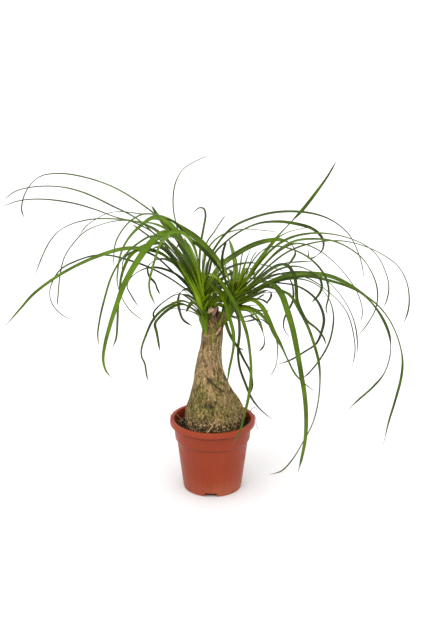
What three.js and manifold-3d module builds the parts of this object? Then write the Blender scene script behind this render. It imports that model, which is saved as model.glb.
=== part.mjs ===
// Potted ponytail palm: a swollen trunk with two crowns of long narrow leaves, in a round nursery pot.
// Millimetres, +Z up. The origin is the centre of the pot's underside, and -Y is the front.

import * as THREE from "three";
import { mergeVertices } from "three/addons/utils/BufferGeometryUtils.js";
import Module from "manifold-3d";

const wasm = await Module();
wasm.setup();

// ---------------------------------------------------------------- driving dimensions

const CLEARANCE = 0.3; // gap between pieces that rest on each other
const MERGE_DISTANCE = 1e-4; // points closer than this are one

const POT_HEIGHT = 104;
const RIM_RADIUS = 60;
const LIP_HEIGHT = 7.5; // rolled rim, from its lower edge to the top
const COLLAR_HEIGHT = 21.5; // straight band under the lip
const COLLAR_RADIUS = 55;
const COLLAR_TAPER = 2.2;
const STEP_HEIGHT = 3; // slope from the collar in to the lower wall
const STEP_DEPTH = 2.6;
const FOOT_RADIUS = 41.5;
const FOOT_ROUND = 1.2;
const WALL = 1.6;
const FLOOR = 2.6;
const POT_SIDES = 42;

const DRAIN_NOTCHES = 4;
const FIRST_NOTCH = -3; // degrees from the front, seen from above
const NOTCH_WIDTH = 17.5;
const NOTCH_HEIGHT = 5.8;
const NOTCH_DEPTH = 6; // how far a notch reaches in under the wall
const FLOOR_HOLES = 6;
const FLOOR_HOLE_RADIUS = 4;
const FLOOR_HOLE_CIRCLE = 22;
const FLOOR_HOLE_SIDES = 12;

const SOIL_LEVEL = 90;
const SOIL_RINGS = 4;
// Waves of the uneven soil: height, turns per millimetre in X and in Y, phase.
const SOIL_WAVES = [
  [0.9, 0.11, 0.05, 1],
  [0.8, -0.04, 0.13, 2.4],
  [0.5, 0.23, -0.19, 0],
];

// Trunk sections from the buried end to the top: height, centre in X, centre in Y, radius.
const TRUNK_SECTIONS = [
  [46, 1, 0, 12],
  [56, 1, 0, 26],
  [70, 1.5, 0, 36],
  [86, 2, 0, 40.5],
  [102, 2.3, 0, 41.6],
  [116, 2.4, 0, 40.4],
  [128, 1.4, 0, 36.6],
  [142, -0.8, 0, 30.4],
  [156, -3, 0, 24.8],
  [174, -5, 0, 20.2],
  [194, -4.5, 0, 17.1],
  [214, -2.1, 0, 15.1],
  [232, 0, 0, 13.8],
  [246, 1.6, 0, 12.6],
  [254, 2, 0, 9.5],
];
const TRUNK_SIDES = 24;
const TRUNK_STATIONS = 22;
const TRUNK_LOBES = [
  [3, 0.035, 0.4],
  [5, 0.02, 1.9],
]; // lobes round the trunk: number, share of the radius, phase

const STUB = { foot: [1, 0, 244], head: [1.5, -1, 268], footRadius: 8.5, headRadius: 7 };
const LEFT_NECK = { foot: [-4, -1, 212], head: [-8, -3, 231], footRadius: 8, headRadius: 6.5 };
const RIGHT_NECK = { foot: [3, 1, 230], head: [14, 3, 250], footRadius: 8, headRadius: 7 };
const NECK_SIDES = 12;

// Each crown's growing core, which the leaf roots are sunk in, carries on from a neck of the trunk.
const LEFT_CORE = { foot: LEFT_NECK.head, head: [-17, -3, 290], footRadius: 7, headRadius: 3 };
const RIGHT_CORE = { foot: RIGHT_NECK.head, head: [33, 4, 290], footRadius: 8, headRadius: 3 };

// Leaf blades have three sides: a flat upper face and a keel below. tilt turns the upper face to
// the front, in degrees.
const KEEL = 1.2;
const KEEL_SHARE = 0.16; // of the width, on a wide blade
const ROOT_WIDTH = 0.7; // widths along a blade, as shares of its full width
const FULL_WIDTH_AT = 0.12;
const TIP_WIDTH = 0.16;
const TAPER_CURVE = 1.3; // how late along its length a blade narrows
const SMALLEST_WIDTH = 1.1;
const FULL_KEEL_WIDTH = 2; // narrower blades have a lower keel
const DEPTH_CURVE = 1.2; // how late along its length a leaf leaves the upright plane
const LOWEST_ROOT = 0.12; // shares of the core's height between which leaves are rooted
const HIGHEST_ROOT = 0.9;
const TILTED_AT = 0.3; // share of its length at which a blade has reached its tilt
const STATIONS_PER_SPAN = 1.5;

// Leaf routes are drawn from the root to the tip as [x, z] on the upright plane through the pot's
// axis, seen from the sight point. front says how far the tip lies before that plane, behind it if
// negative, and the blade's points move along the line of sight, so the drawn outline holds.
const SIGHT_POINT = new THREE.Vector3(-2.9, -1519, 757.7);

const LEFT_LEAVES = [
  { front: -70, width: 6, tilt: 0, route: [[-15, 272], [-28, 315], [-48, 360], [-68, 388], [-95, 411],
    [-130, 433], [-165, 446], [-200, 452], [-228, 448], [-246, 430], [-254, 405], [-251, 391]] },
  { front: -25, width: 6, tilt: 0, route: [[-16, 266], [-30, 300], [-52, 338], [-75, 366], [-100, 390],
    [-135, 409], [-170, 426], [-200, 434], [-235, 434.5], [-262, 428], [-278, 416]] },
  { front: 40, width: 6, tilt: 0, route: [[-14, 270], [-32, 312], [-55, 348], [-80, 372], [-108, 387],
    [-130, 393.5], [-155, 403], [-185, 412], [-225, 417.5], [-255, 416], [-283, 407]] },
  { front: -110, width: 6, tilt: 0, route: [[-13, 275], [-30, 312], [-48, 342], [-65, 364], [-82, 378],
    [-105, 387.5], [-130, 390.5], [-158, 390.5], [-185, 385], [-205, 375], [-219, 359], [-230, 338],
    [-243, 307]] },
  { front: -150, width: 5, tilt: 0, route: [[-13, 276], [-30, 318], [-52, 352], [-76, 376],
    [-100, 386.5], [-125, 388.5], [-150, 383], [-170, 374], [-188, 356], [-200, 337], [-207, 310],
    [-211, 280], [-213, 267]] },
  { front: -190, width: 4, tilt: 0, route: [[-14, 280], [-32, 335], [-56, 376], [-78, 396], [-98, 398],
    [-125, 401], [-142, 398], [-155, 391], [-168, 382], [-179, 368]] },
  { front: 80, width: 7.5, tilt: 35, route: [[-16, 262], [-32, 298], [-52, 328], [-72, 344],
    [-95, 349.5], [-120, 349.5], [-150, 341], [-185, 325.5], [-215, 308], [-245, 285], [-262, 266],
    [-287, 238]] },
  { front: 10, width: 5.5, tilt: 10, route: [[-15, 268], [-30, 287], [-48, 301], [-68, 314], [-92, 326],
    [-115, 334], [-138, 340], [-160, 340], [-185, 332], [-205, 321], [-217, 304], [-222, 286],
    [-218, 270], [-206, 256], [-190, 248]] },
  { front: 130, width: 6, tilt: 10, route: [[-14, 274], [-28, 318], [-46, 348], [-64, 364], [-82, 367],
    [-98, 358.5], [-113, 346], [-127, 329], [-138, 308], [-147, 280], [-154, 253], [-158, 228],
    [-157, 209]] },
  { front: -50, width: 8, tilt: 40, route: [[-14, 275], [-26, 320], [-43, 358], [-60, 380], [-72, 394],
    [-82, 410]] },
  { front: -80, width: 8, tilt: 35, route: [[-12, 280], [-24, 325], [-42, 362], [-60, 386],
    [-78, 392.5], [-96, 381], [-113, 363], [-123, 343], [-128, 318], [-129, 300], [-123, 280],
    [-112, 262], [-90, 244]] },
  { front: 105, width: 10.5, tilt: 50, route: [[-13, 278], [-24, 318], [-38, 350], [-52, 367],
    [-64, 371], [-76, 364.5], [-89, 350.5], [-97, 339], [-109, 320], [-121, 297], [-131, 270],
    [-141, 240], [-149, 210], [-151.5, 190], [-148, 174], [-140, 163]] },
  { front: 60, width: 6.5, tilt: 20, route: [[-16, 268], [-30, 305], [-48, 338], [-66, 356], [-84, 356],
    [-100, 349], [-112, 338], [-119, 324], [-124, 308], [-126, 290], [-129, 268], [-130.5, 245],
    [-133, 222], [-139, 207]] },
  { front: -35, width: 5.5, tilt: 15, route: [[-15, 265], [-27, 290], [-42, 308], [-60, 319],
    [-80, 323.5], [-98, 319], [-111, 309], [-116, 297], [-111, 285], [-101, 267]] },
  { front: -100, width: 5, tilt: 15, route: [[-16, 272], [-30, 303], [-46, 324], [-62, 334.5],
    [-77, 334], [-87, 325], [-86, 312], [-78, 302], [-75, 293], [-71, 285]] },
  { front: 150, width: 5, tilt: 15, route: [[-13, 282], [-22, 325], [-38, 352], [-56, 366], [-69, 358],
    [-76, 340], [-82, 320], [-86, 302], [-85, 288], [-78, 270]] },
  { front: 45, width: 7.5, tilt: 25, route: [[-11, 247], [-17, 258], [-28, 270], [-42, 276], [-56, 271],
    [-70, 262], [-82, 248], [-91, 228], [-98, 207], [-98, 195], [-94, 185], [-92, 170], [-90, 158]] },
  { front: 90, width: 7, tilt: 20, route: [[-11, 246], [-18, 255], [-30, 267], [-45, 271], [-60, 264],
    [-73, 252], [-79, 243], [-77, 231], [-75, 218], [-73, 203]] },
  { front: -60, width: 5, tilt: 15, route: [[-12, 252], [-20, 272], [-32, 283], [-48, 285.5],
    [-62, 278], [-75, 267], [-81, 258], [-79, 248]] },
  { front: -130, width: 7, tilt: 25, route: [[-11, 250], [-19, 277], [-30, 292], [-42, 290],
    [-46.5, 278], [-45, 263], [-40, 249], [-28, 240]] },
  { front: 60, width: 7, tilt: 25, route: [[-11, 249], [-18, 264], [-26, 274], [-32, 269],
    [-36, 260]] },
  { front: 20, width: 5, tilt: 30, route: [[-14, 280], [-28, 330], [-42, 362], [-50, 388], [-53, 412],
    [-50, 438], [-40, 457], [-24, 468], [-4, 477]] },
  { front: -40, width: 4.5, tilt: 20, route: [[-14, 285], [-18, 325], [-16, 357], [-12, 380],
    [-9.5, 397], [-12, 405], [-18, 406], [-26, 399]] },
  { front: -200, width: 4, tilt: 15, route: [[-13, 286], [-13, 325], [-8, 358], [2, 373], [10, 386],
    [17, 396]] },
  { front: -170, width: 4, tilt: 15, route: [[-13, 283], [-13, 318], [-6, 350], [8, 366], [26, 374],
    [45, 377], [65, 375.5], [88, 373]] },
  { front: -60, width: 5, tilt: 0, route: [[-14, 286], [-9, 312], [-3, 338], [10, 361], [28, 380],
    [50, 391], [78, 399], [108, 401], [138, 397], [162, 387], [182, 370], [194, 349], [202, 326],
    [206, 305]] },
  { front: -95, width: 7, tilt: 5, route: [[-14, 285], [-6, 310], [2, 341], [18, 359], [38, 374],
    [62, 384.5], [88, 387], [112, 384], [134, 377], [147, 364], [148, 350], [139, 339.5], [130, 337],
    [129, 349]] },
  { front: -140, width: 9, tilt: 45, route: [[-14, 282], [-2, 306], [12, 327], [30, 341], [52, 354],
    [74, 361], [92, 362], [106, 355], [111, 344], [106, 333], [101, 326]] },
  { front: -120, width: 5, tilt: 15, route: [[-14, 280], [0, 300], [14, 318], [32, 327], [52, 330],
    [72, 326.5], [86, 322], [98, 318]] },
  { front: 85, width: 9, tilt: 10, route: [[-13, 270], [-8, 281], [-1, 287], [6, 288], [12, 282],
    [18, 268], [23, 250], [28, 230], [28.5, 212], [26, 193], [22.5, 174], [20.5, 154]] },
  { front: 120, width: 10, tilt: 10, route: [[-14, 282], [-12, 300], [-6, 313], [5, 308.5], [17, 294],
    [29, 273], [38.5, 253], [46.5, 228], [51, 200], [53, 170], [51, 142], [45, 110], [38, 82],
    [27, 58]] },
  { front: -245, width: 6.5, tilt: 10, route: [[-13, 276], [0, 290], [14, 300], [30, 306.5],
    [46, 308.5], [62, 306], [78, 302.5], [94, 301], [112, 298], [130, 288.5], [144, 274], [152.5, 252],
    [151, 235], [143, 214], [127, 202], [106, 189], [87, 183]] },
  { front: 55, width: 9, tilt: 45, route: [[-13, 284], [-17, 312], [-22, 340], [-29, 359], [-40, 371],
    [-52, 373], [-62, 368], [-72, 357]] },
  { front: -90, width: 8, tilt: 30, route: [[-13, 282], [-22, 312], [-33, 340], [-42, 360], [-52, 372],
    [-62, 380], [-72, 390]] },
  { front: 15, width: 6, tilt: 15, route: [[-15, 268], [-29, 290], [-44, 307], [-60, 323], [-75, 337],
    [-87, 344], [-100, 347], [-112, 343], [-120, 334], [-122.5, 320], [-121, 309]] },
  { front: -45, width: 6, tilt: 15, route: [[-15, 274], [-28, 298], [-40, 316], [-52, 333], [-64, 347],
    [-74, 352], [-84, 347], [-90, 343]] },
  { front: -140, width: 5, tilt: 10, route: [[-15, 276], [-30, 306], [-46, 330], [-62, 348], [-78, 361],
    [-92, 372], [-108, 384]] },
  { front: 15, width: 6, tilt: 25, route: [[-14, 280], [-28, 322], [-44, 354], [-57, 372], [-68, 380],
    [-80, 384.5], [-95, 386.5], [-110, 388.5]] },
  { front: -230, width: 6, tilt: 0, route: [[-14, 285], [-20, 322], [-27, 344], [-35, 358], [-44, 358],
    [-50, 346]] },
  { front: -215, width: 6, tilt: 0, route: [[-13, 286], [-10, 318], [-6, 332], [-1, 333], [4, 322]] },
];

const RIGHT_LEAVES = [
  { front: 70, width: 9.5, tilt: 35, route: [[28, 282], [23, 302], [12, 325], [-4, 346], [-24, 366],
    [-44, 380], [-60, 391], [-75, 396], [-92, 397], [-108, 389], [-121, 375], [-130, 358], [-133, 341],
    [-134, 322]] },
  { front: 45, width: 6, tilt: 20, route: [[27, 280], [14, 312], [0, 334], [-16, 351], [-30, 363],
    [-42, 376], [-52, 387], [-66, 392]] },
  { front: -40, width: 8, tilt: 60, route: [[28, 276], [42, 298], [58, 326], [78, 354], [98, 379],
    [118, 401], [138, 428], [152, 449], [163, 470]] },
  { front: -150, width: 8, tilt: 35, route: [[30, 280], [31, 305], [30, 330], [26, 350], [22, 363]] },
  { front: 60, width: 7, tilt: 25, route: [[27, 282], [17, 306], [12.5, 330], [14, 346], [19, 362]] },
  { front: -30, width: 6.5, tilt: 0, route: [[30, 280], [48, 306], [66, 332], [84, 352], [104, 364.5],
    [130, 370.5], [158, 370], [184, 364], [206, 354], [222, 340], [233, 320], [239, 300], [238, 280],
    [233, 265]] },
  { front: 30, width: 6.5, tilt: 0, route: [[30, 278], [50, 303], [72, 330], [92, 350], [112, 360.5],
    [138, 363], [162, 360], [184, 350], [203, 335], [217, 313], [224, 290], [223, 266], [213, 244],
    [198, 222]] },
  { front: -80, width: 6, tilt: 0, route: [[31, 276], [50, 298], [75, 324], [98, 343], [122, 354],
    [150, 360], [178, 360], [205, 353], [230, 341], [250, 326], [263, 304], [268, 278], [267, 260],
    [262, 243]] },
  { front: 85, width: 6.5, tilt: 5, route: [[29, 277], [40, 306], [54, 332], [68, 348], [85, 353],
    [110, 347.5], [132, 335], [148, 318], [156, 301], [158, 284], [155, 265], [158, 255]] },
  { front: 110, width: 7, tilt: 25, route: [[30, 272], [50, 296], [70, 316], [88, 327], [101, 326],
    [110, 313], [113.5, 295], [115, 278], [121, 262], [129, 248], [143, 236], [153, 223], [157, 212]] },
  { front: -130, width: 5, tilt: 15, route: [[31, 270], [55, 298], [78, 320], [98, 329], [118, 331.5],
    [136, 332.5]] },
  { front: 45, width: 7.5, tilt: 20, route: [[28, 268], [44, 280], [64, 295], [86, 307], [108, 313.5],
    [132, 315], [158, 311.5], [184, 300], [206, 285], [228, 267], [244, 246], [256, 220], [263, 192],
    [263, 165], [256, 128], [249, 98], [243, 62]] },
  { front: 0, width: 7, tilt: 15, route: [[27, 264], [42, 275], [62, 290], [84, 302], [106, 309],
    [130, 311], [156, 305.5], [184, 296.5], [203, 286.5], [220, 269.5], [235, 247], [244, 224],
    [246, 200], [239, 171], [224, 150], [205, 131], [191, 116]] },
  { front: 150, width: 9, tilt: 45, route: [[28, 270], [46, 290], [64, 302], [80, 300], [93, 286],
    [102, 262], [110, 235], [117, 202], [123, 170], [129, 136], [132, 100], [131.5, 70], [127.5, 42],
    [123, 20]] },
  { front: 100, width: 7.5, tilt: 25, route: [[28, 262], [48, 280], [70, 295], [92, 291], [106, 283],
    [118, 263], [130, 240], [140, 213], [147, 187], [149.5, 160], [147.5, 124], [141, 94], [129, 67],
    [114, 39], [99, 21], [82, 15]] },
  { front: 60, width: 8, tilt: 35, route: [[27, 264], [42, 276], [57, 276], [68, 266], [76, 250],
    [84, 231], [94, 212], [104, 190], [115, 169], [128, 155], [144, 143]] },
  { front: -70, width: 7, tilt: 25, route: [[26, 260], [38, 266], [52, 265], [64, 258], [74, 247],
    [84, 232], [89, 215], [89.5, 198], [88, 182], [80, 165]] },
  { front: -110, width: 5, tilt: 15, route: [[25, 258], [36, 263], [48, 262], [58, 251], [66, 238],
    [71.5, 222], [70, 210], [64, 203]] },
  { front: 70, width: 7, tilt: 25, route: [[22, 260], [29, 262], [35, 250], [36.5, 230], [34.5, 205],
    [37, 180], [45, 156], [54, 134], [66, 117], [85, 100]] },
  { front: 48, width: 5, tilt: 15, route: [[20, 259], [25, 248], [24, 228], [33, 209], [43, 190],
    [52, 173], [55.5, 152], [51, 137]] },
  { front: -120, width: 5, tilt: 15, route: [[28, 264], [44, 277], [60, 285], [74, 291], [79.5, 287],
    [78, 279], [73, 273]] },
  { front: 90, width: 5, tilt: 15, route: [[26, 264], [40, 278], [55, 279], [68, 277.5], [76, 272]] },
  { front: -160, width: 5, tilt: 15, route: [[29, 274], [52, 296], [76, 310], [96, 314], [106, 304],
    [109.5, 290], [109, 276], [104, 264], [98, 250], [98, 236], [109, 220]] },
  { front: 75, width: 5, tilt: 15, route: [[29, 272], [55, 296], [84, 312], [112, 317], [134, 315],
    [146, 306], [148, 294], [143, 283], [135, 274]] },
  { front: -150, width: 4.5, tilt: 15, route: [[29, 270], [56, 292], [86, 308], [112, 313], [134, 306],
    [154, 292], [172, 276], [185, 257], [193, 232], [197, 205], [194, 178]] },
  { front: -125, width: 4.5, tilt: 15, route: [[31, 278], [56, 310], [82, 340], [104, 355],
    [120, 356.5], [140, 349], [162, 333], [182, 311], [197, 288], [205, 262], [203, 244]] },
  { front: -170, width: 4.5, tilt: 15, route: [[30, 268], [58, 298], [88, 320], [112, 325], [134, 318],
    [155, 305], [174, 285], [188, 262], [196, 240], [200, 215], [201, 200]] },
  { front: -190, width: 4.5, tilt: 15, route: [[28, 264], [58, 288], [90, 304], [120, 307], [144, 297],
    [158, 280], [165, 258], [165, 238], [160, 214], [148, 190], [134, 171], [126, 163]] },
  { front: -90, width: 5, tilt: 0, route: [[25, 256], [34, 250], [46, 246.5], [58, 249], [66, 250],
    [74, 244], [81, 238]] },
  { front: 50, width: 4.5, tilt: 0, route: [[26, 256], [36, 252], [45, 254], [52, 254], [60, 249],
    [68, 244]] },
  { front: -60, width: 5, tilt: 0, route: [[28, 262], [40, 272], [52, 276.5], [62, 280], [71, 286.5]] },
  { front: -200, width: 4, tilt: 0, route: [[29, 280], [34, 304], [37, 322], [39, 338], [41, 346]] },
  { front: -185, width: 4, tilt: 0, route: [[31, 282], [44, 309], [50, 328], [55, 340], [60, 347]] },
  { front: -220, width: 6, tilt: 0, route: [[31, 284], [38, 308], [44, 321], [51, 322], [57, 312],
    [59, 298]] },
  { front: -205, width: 6, tilt: 0, route: [[30, 285], [27, 308], [24, 319], [18, 320], [12, 311]] },
];

// ---------------------------------------------------------------- materials

const potMaterial = new THREE.MeshStandardMaterial({ color: 0xa8452b, roughness: 0.5, metalness: 0 });
const soilMaterial = new THREE.MeshStandardMaterial({ color: 0x2b2019, roughness: 0.95, metalness: 0 });
const barkMaterial = new THREE.MeshStandardMaterial({ color: 0x8a7350, roughness: 0.85, metalness: 0 });
const leafMaterial = new THREE.MeshStandardMaterial({ color: 0x476b1c, roughness: 0.5, metalness: 0 });

// ---------------------------------------------------------------- helpers

// A closed geometry as a solid for joining and cutting, its faces turned outwards.
function toSolid(geometry) {
  const bare = geometry.clone();
  bare.deleteAttribute("normal");
  bare.deleteAttribute("uv");
  const merged = mergeVertices(bare, MERGE_DISTANCE);
  const positions = merged.attributes.position.array;
  const corner = (i) => new THREE.Vector3().fromArray(positions, 3 * i);
  const triangles = [];
  let volume = 0;
  for (let i = 0; i < merged.index.count; i += 3) {
    const [a, b, c] = merged.index.array.slice(i, i + 3);
    if (a === b || b === c || c === a) {
      continue;
    }
    triangles.push(a, b, c);
    volume += corner(a).dot(corner(b).cross(corner(c)));
  }
  if (volume < 0) {
    triangles.reverse();
  }
  const vertProperties = new Float32Array(positions);
  const triVerts = new Uint32Array(triangles);
  return new wasm.Manifold(new wasm.Mesh({ numProp: 3, vertProperties, triVerts }));
}

function toMesh(name, solid, material) {
  const { vertProperties, triVerts } = solid.getMesh();
  const geometry = new THREE.BufferGeometry();
  geometry.setAttribute("position", new THREE.BufferAttribute(vertProperties, 3));
  geometry.setIndex(new THREE.BufferAttribute(triVerts, 1));
  geometry.computeVertexNormals();
  const mesh = new THREE.Mesh(geometry, material);
  mesh.name = name;
  return mesh;
}

// The largest of a solid's loose pieces: what a cut leaves loose is dropped.
function largestPiece(solid) {
  return solid.decompose().reduce((best, piece) => (piece.volume() > best.volume() ? piece : best));
}

// A closed skin over rings of points, all with the same count, capped at both ends.
function loft(rings) {
  const count = rings[0].length;
  const points = rings.flat();
  const faces = [];
  for (let ring = 0; ring < rings.length - 1; ring += 1) {
    for (let i = 0; i < count; i += 1) {
      const a = ring * count + i;
      const b = ring * count + ((i + 1) % count);
      faces.push(a, b, b + count, a, b + count, a + count);
    }
  }
  const last = (rings.length - 1) * count;
  for (let i = 1; i < count - 1; i += 1) {
    faces.push(0, i + 1, i, last, last + i, last + i + 1);
  }
  const geometry = new THREE.BufferGeometry().setFromPoints(points);
  geometry.setIndex(faces);
  return toSolid(geometry);
}

function revolve(profile) {
  const points = profile.map(([radius, height]) => new THREE.Vector2(radius, height));
  return new THREE.LatheGeometry(points, POT_SIDES).rotateX(Math.PI / 2);
}

// A straight round stem between two points, tapering, with an end that may reach past its head.
function taperedStem({ foot, head, footRadius, headRadius }, grow, sides) {
  const from = new THREE.Vector3(...foot);
  const to = new THREE.Vector3(...head);
  const along = to.clone().sub(from);
  const length = along.length() + grow;
  const geometry = new THREE.CylinderGeometry(headRadius + grow, footRadius + grow, length, sides);
  geometry.translate(0, length / 2, 0);
  const up = new THREE.Vector3(0, 1, 0);
  geometry.applyQuaternion(new THREE.Quaternion().setFromUnitVectors(up, along.normalize()));
  geometry.translate(...foot);
  return toSolid(geometry);
}

// ---------------------------------------------------------------- pot and soil

const LIP_FOOT = POT_HEIGHT - LIP_HEIGHT;
const COLLAR_FOOT = LIP_FOOT - COLLAR_HEIGHT;
const WALL_TOP = COLLAR_FOOT - STEP_HEIGHT;
const COLLAR_FOOT_RADIUS = COLLAR_RADIUS - COLLAR_TAPER;
const WALL_TOP_RADIUS = COLLAR_FOOT_RADIUS - STEP_DEPTH;
const LIP_ROUND = 1.4;

// The pot's inside wall from the floor up, less a gap.
function innerWall(gap) {
  return [
    [FOOT_RADIUS - WALL - gap, FLOOR + gap],
    [WALL_TOP_RADIUS - WALL - gap, WALL_TOP],
    [COLLAR_FOOT_RADIUS - WALL - gap, COLLAR_FOOT],
    [COLLAR_RADIUS - WALL - gap, LIP_FOOT],
  ];
}

function makePot() {
  const outside = [
    [0, 0],
    [FOOT_RADIUS - FOOT_ROUND, 0],
    [FOOT_RADIUS, FOOT_ROUND],
    [WALL_TOP_RADIUS, WALL_TOP],
    [COLLAR_FOOT_RADIUS, COLLAR_FOOT],
    [COLLAR_RADIUS, LIP_FOOT],
    [RIM_RADIUS - LIP_ROUND, LIP_FOOT],
    [RIM_RADIUS, LIP_FOOT + LIP_ROUND],
    [RIM_RADIUS, POT_HEIGHT - LIP_ROUND],
    [RIM_RADIUS - LIP_ROUND, POT_HEIGHT],
  ];
  const mouth = [
    [RIM_RADIUS - 2 * LIP_ROUND, POT_HEIGHT],
    [RIM_RADIUS - 3 * LIP_ROUND, POT_HEIGHT - LIP_ROUND],
  ];
  const inside = innerWall(0).reverse();
  let pot = toSolid(revolve([...outside, ...mouth, ...inside, [0, FLOOR]]));
  for (let i = 0; i < DRAIN_NOTCHES; i += 1) {
    const notch = new THREE.BoxGeometry(NOTCH_WIDTH, 2 * NOTCH_DEPTH, 2 * NOTCH_HEIGHT);
    notch.translate(0, -FOOT_RADIUS, 0);
    notch.rotateZ((i / DRAIN_NOTCHES) * 2 * Math.PI + THREE.MathUtils.degToRad(FIRST_NOTCH));
    pot = pot.subtract(toSolid(notch));
  }
  for (let i = 0; i < FLOOR_HOLES; i += 1) {
    const size = [FLOOR_HOLE_RADIUS, FLOOR_HOLE_RADIUS, 4 * FLOOR, FLOOR_HOLE_SIDES];
    const hole = new THREE.CylinderGeometry(...size);
    hole.rotateX(Math.PI / 2);
    hole.translate(0, -FLOOR_HOLE_CIRCLE, 0);
    hole.rotateZ(((i + 0.5) / FLOOR_HOLES) * 2 * Math.PI);
    pot = pot.subtract(toSolid(hole));
  }
  return pot;
}

function soilHeight(x, y) {
  return SOIL_WAVES.reduce(
    (sum, [height, alongX, alongY, phase]) => sum + height * Math.sin(x * alongX + y * alongY + phase),
    SOIL_LEVEL,
  );
}

function makeSoil() {
  const wall = innerWall(CLEARANCE).filter(([, height]) => height < SOIL_LEVEL);
  const [lowRadius, lowHeight] = wall[wall.length - 1];
  const [highRadius, highHeight] = innerWall(CLEARANCE)[wall.length];
  const share = (SOIL_LEVEL - lowHeight) / (highHeight - lowHeight);
  const edge = THREE.MathUtils.lerp(lowRadius, highRadius, share);
  const top = [];
  for (let i = 0; i < SOIL_RINGS; i += 1) {
    top.push([edge * (1 - i / SOIL_RINGS), SOIL_LEVEL]);
  }
  const geometry = revolve([[0, FLOOR + CLEARANCE], ...wall, ...top, [0, SOIL_LEVEL]]);
  const position = geometry.attributes.position;
  for (let i = 0; i < position.count; i += 1) {
    const [x, y] = [position.getX(i), position.getY(i)];
    const onTop = position.getZ(i) > lowHeight + CLEARANCE;
    if (onTop && Math.hypot(x, y) < edge - CLEARANCE) {
      position.setZ(i, soilHeight(x, y));
    }
  }
  return toSolid(geometry);
}

// ---------------------------------------------------------------- trunk

const trunkCurve = new THREE.CatmullRomCurve3(
  TRUNK_SECTIONS.map(([height, x, y]) => new THREE.Vector3(x, y, height)),
);
const radiusCurve = new THREE.SplineCurve(
  TRUNK_SECTIONS.map(([height, , , radius]) => new THREE.Vector2(height, radius)),
);

function makeTrunk(grow) {
  const rings = [];
  for (let station = 0; station <= TRUNK_STATIONS; station += 1) {
    const t = station / TRUNK_STATIONS;
    const centre = trunkCurve.getPoint(t);
    const radius = radiusCurve.getPoint(t).y;
    const ring = [];
    for (let side = 0; side < TRUNK_SIDES; side += 1) {
      const angle = (side / TRUNK_SIDES) * 2 * Math.PI;
      const lobes = TRUNK_LOBES.reduce((sum, [n, size, at]) => sum + size * Math.sin(n * angle + at), 1);
      const reach = radius * lobes + grow;
      ring.push(new THREE.Vector3(
        centre.x + reach * Math.cos(angle),
        centre.y + reach * Math.sin(angle),
        centre.z + grow * (2 * t - 1),
      ));
    }
    rings.push(ring);
  }
  const stems = [STUB, LEFT_NECK, RIGHT_NECK].map((stem) => taperedStem(stem, grow, NECK_SIDES));
  return wasm.Manifold.union([loft(rings), ...stems]);
}

// ---------------------------------------------------------------- crowns

// Slides a drawn point along the line of sight until it lies `front` before the upright plane.
function placed([x, z], front) {
  const drawn = new THREE.Vector3(x, 0, z);
  return SIGHT_POINT.clone().lerp(drawn, 1 - front / -SIGHT_POINT.y);
}

// The leaf's middle line in space, from the axis of the crown's core to the tip.
function leafCurve(leaf, core) {
  const foot = new THREE.Vector3(...core.foot);
  const head = new THREE.Vector3(...core.head);
  const share = (leaf.route[0][1] - foot.z) / (head.z - foot.z);
  const root = foot.lerp(head, THREE.MathUtils.clamp(share, LOWEST_ROOT, HIGHEST_ROOT));
  const lengths = [0];
  for (let i = 1; i < leaf.route.length; i += 1) {
    const [x0, z0] = leaf.route[i - 1];
    const [x1, z1] = leaf.route[i];
    lengths.push(lengths[i - 1] + Math.hypot(x1 - x0, z1 - z0));
  }
  const whole = lengths[lengths.length - 1];
  const points = leaf.route.slice(1).map((point, i) => {
    const along = (lengths[i + 1] / whole) ** DEPTH_CURVE;
    return placed(point, THREE.MathUtils.lerp(-root.y, leaf.front, along));
  });
  return new THREE.CatmullRomCurve3([root, ...points], false, "centripetal");
}

function widthShare(t) {
  if (t < FULL_WIDTH_AT) {
    return THREE.MathUtils.lerp(ROOT_WIDTH, 1, t / FULL_WIDTH_AT);
  }
  const rest = (t - FULL_WIDTH_AT) / (1 - FULL_WIDTH_AT);
  return THREE.MathUtils.lerp(1, TIP_WIDTH, rest ** TAPER_CURVE);
}

// One blade: a three-sided strip carried along its curve untwisted, but for its tilt to the front.
function makeBlade(leaf, core) {
  const curve = leafCurve(leaf, core);
  const stations = Math.round((leaf.route.length - 1) * STATIONS_PER_SPAN);
  const reach = curve.getPoint(0.5).sub(curve.getPoint(0));
  const across = new THREE.Vector3(-reach.y, reach.x, 0).normalize();
  const rings = [];
  for (let station = 0; station <= stations; station += 1) {
    const t = station / stations;
    const tangent = curve.getTangent(t);
    across.addScaledVector(tangent, -across.dot(tangent)).normalize();
    const tilt = Math.sign(reach.x) * leaf.tilt * Math.min(1, t / TILTED_AT);
    const side = across.clone().applyAxisAngle(tangent, THREE.MathUtils.degToRad(tilt));
    const below = side.clone().cross(tangent);
    const width = Math.max(SMALLEST_WIDTH, leaf.width * widthShare(t));
    const keel = Math.max(KEEL, KEEL_SHARE * width) * Math.min(1, width / FULL_KEEL_WIDTH);
    const centre = curve.getPoint(t);
    rings.push([
      centre.clone().addScaledVector(side, width / 2),
      centre.clone().addScaledVector(side, -width / 2),
      centre.clone().addScaledVector(below, keel),
    ]);
  }
  return loft(rings);
}

function makeCrown(core, leaves, trunkRoom) {
  const blades = leaves.map((leaf) => makeBlade(leaf, core));
  const crown = wasm.Manifold.union([taperedStem(core, 0, NECK_SIDES), ...blades]);
  return largestPiece(crown.subtract(trunkRoom));
}

// ---------------------------------------------------------------- assembly

const trunk = makeTrunk(0);
const trunkRoom = makeTrunk(CLEARANCE);
const leftCrown = makeCrown(LEFT_CORE, LEFT_LEAVES, trunkRoom);
const rightCrown = makeCrown(RIGHT_CORE, RIGHT_LEAVES, trunkRoom);

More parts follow.
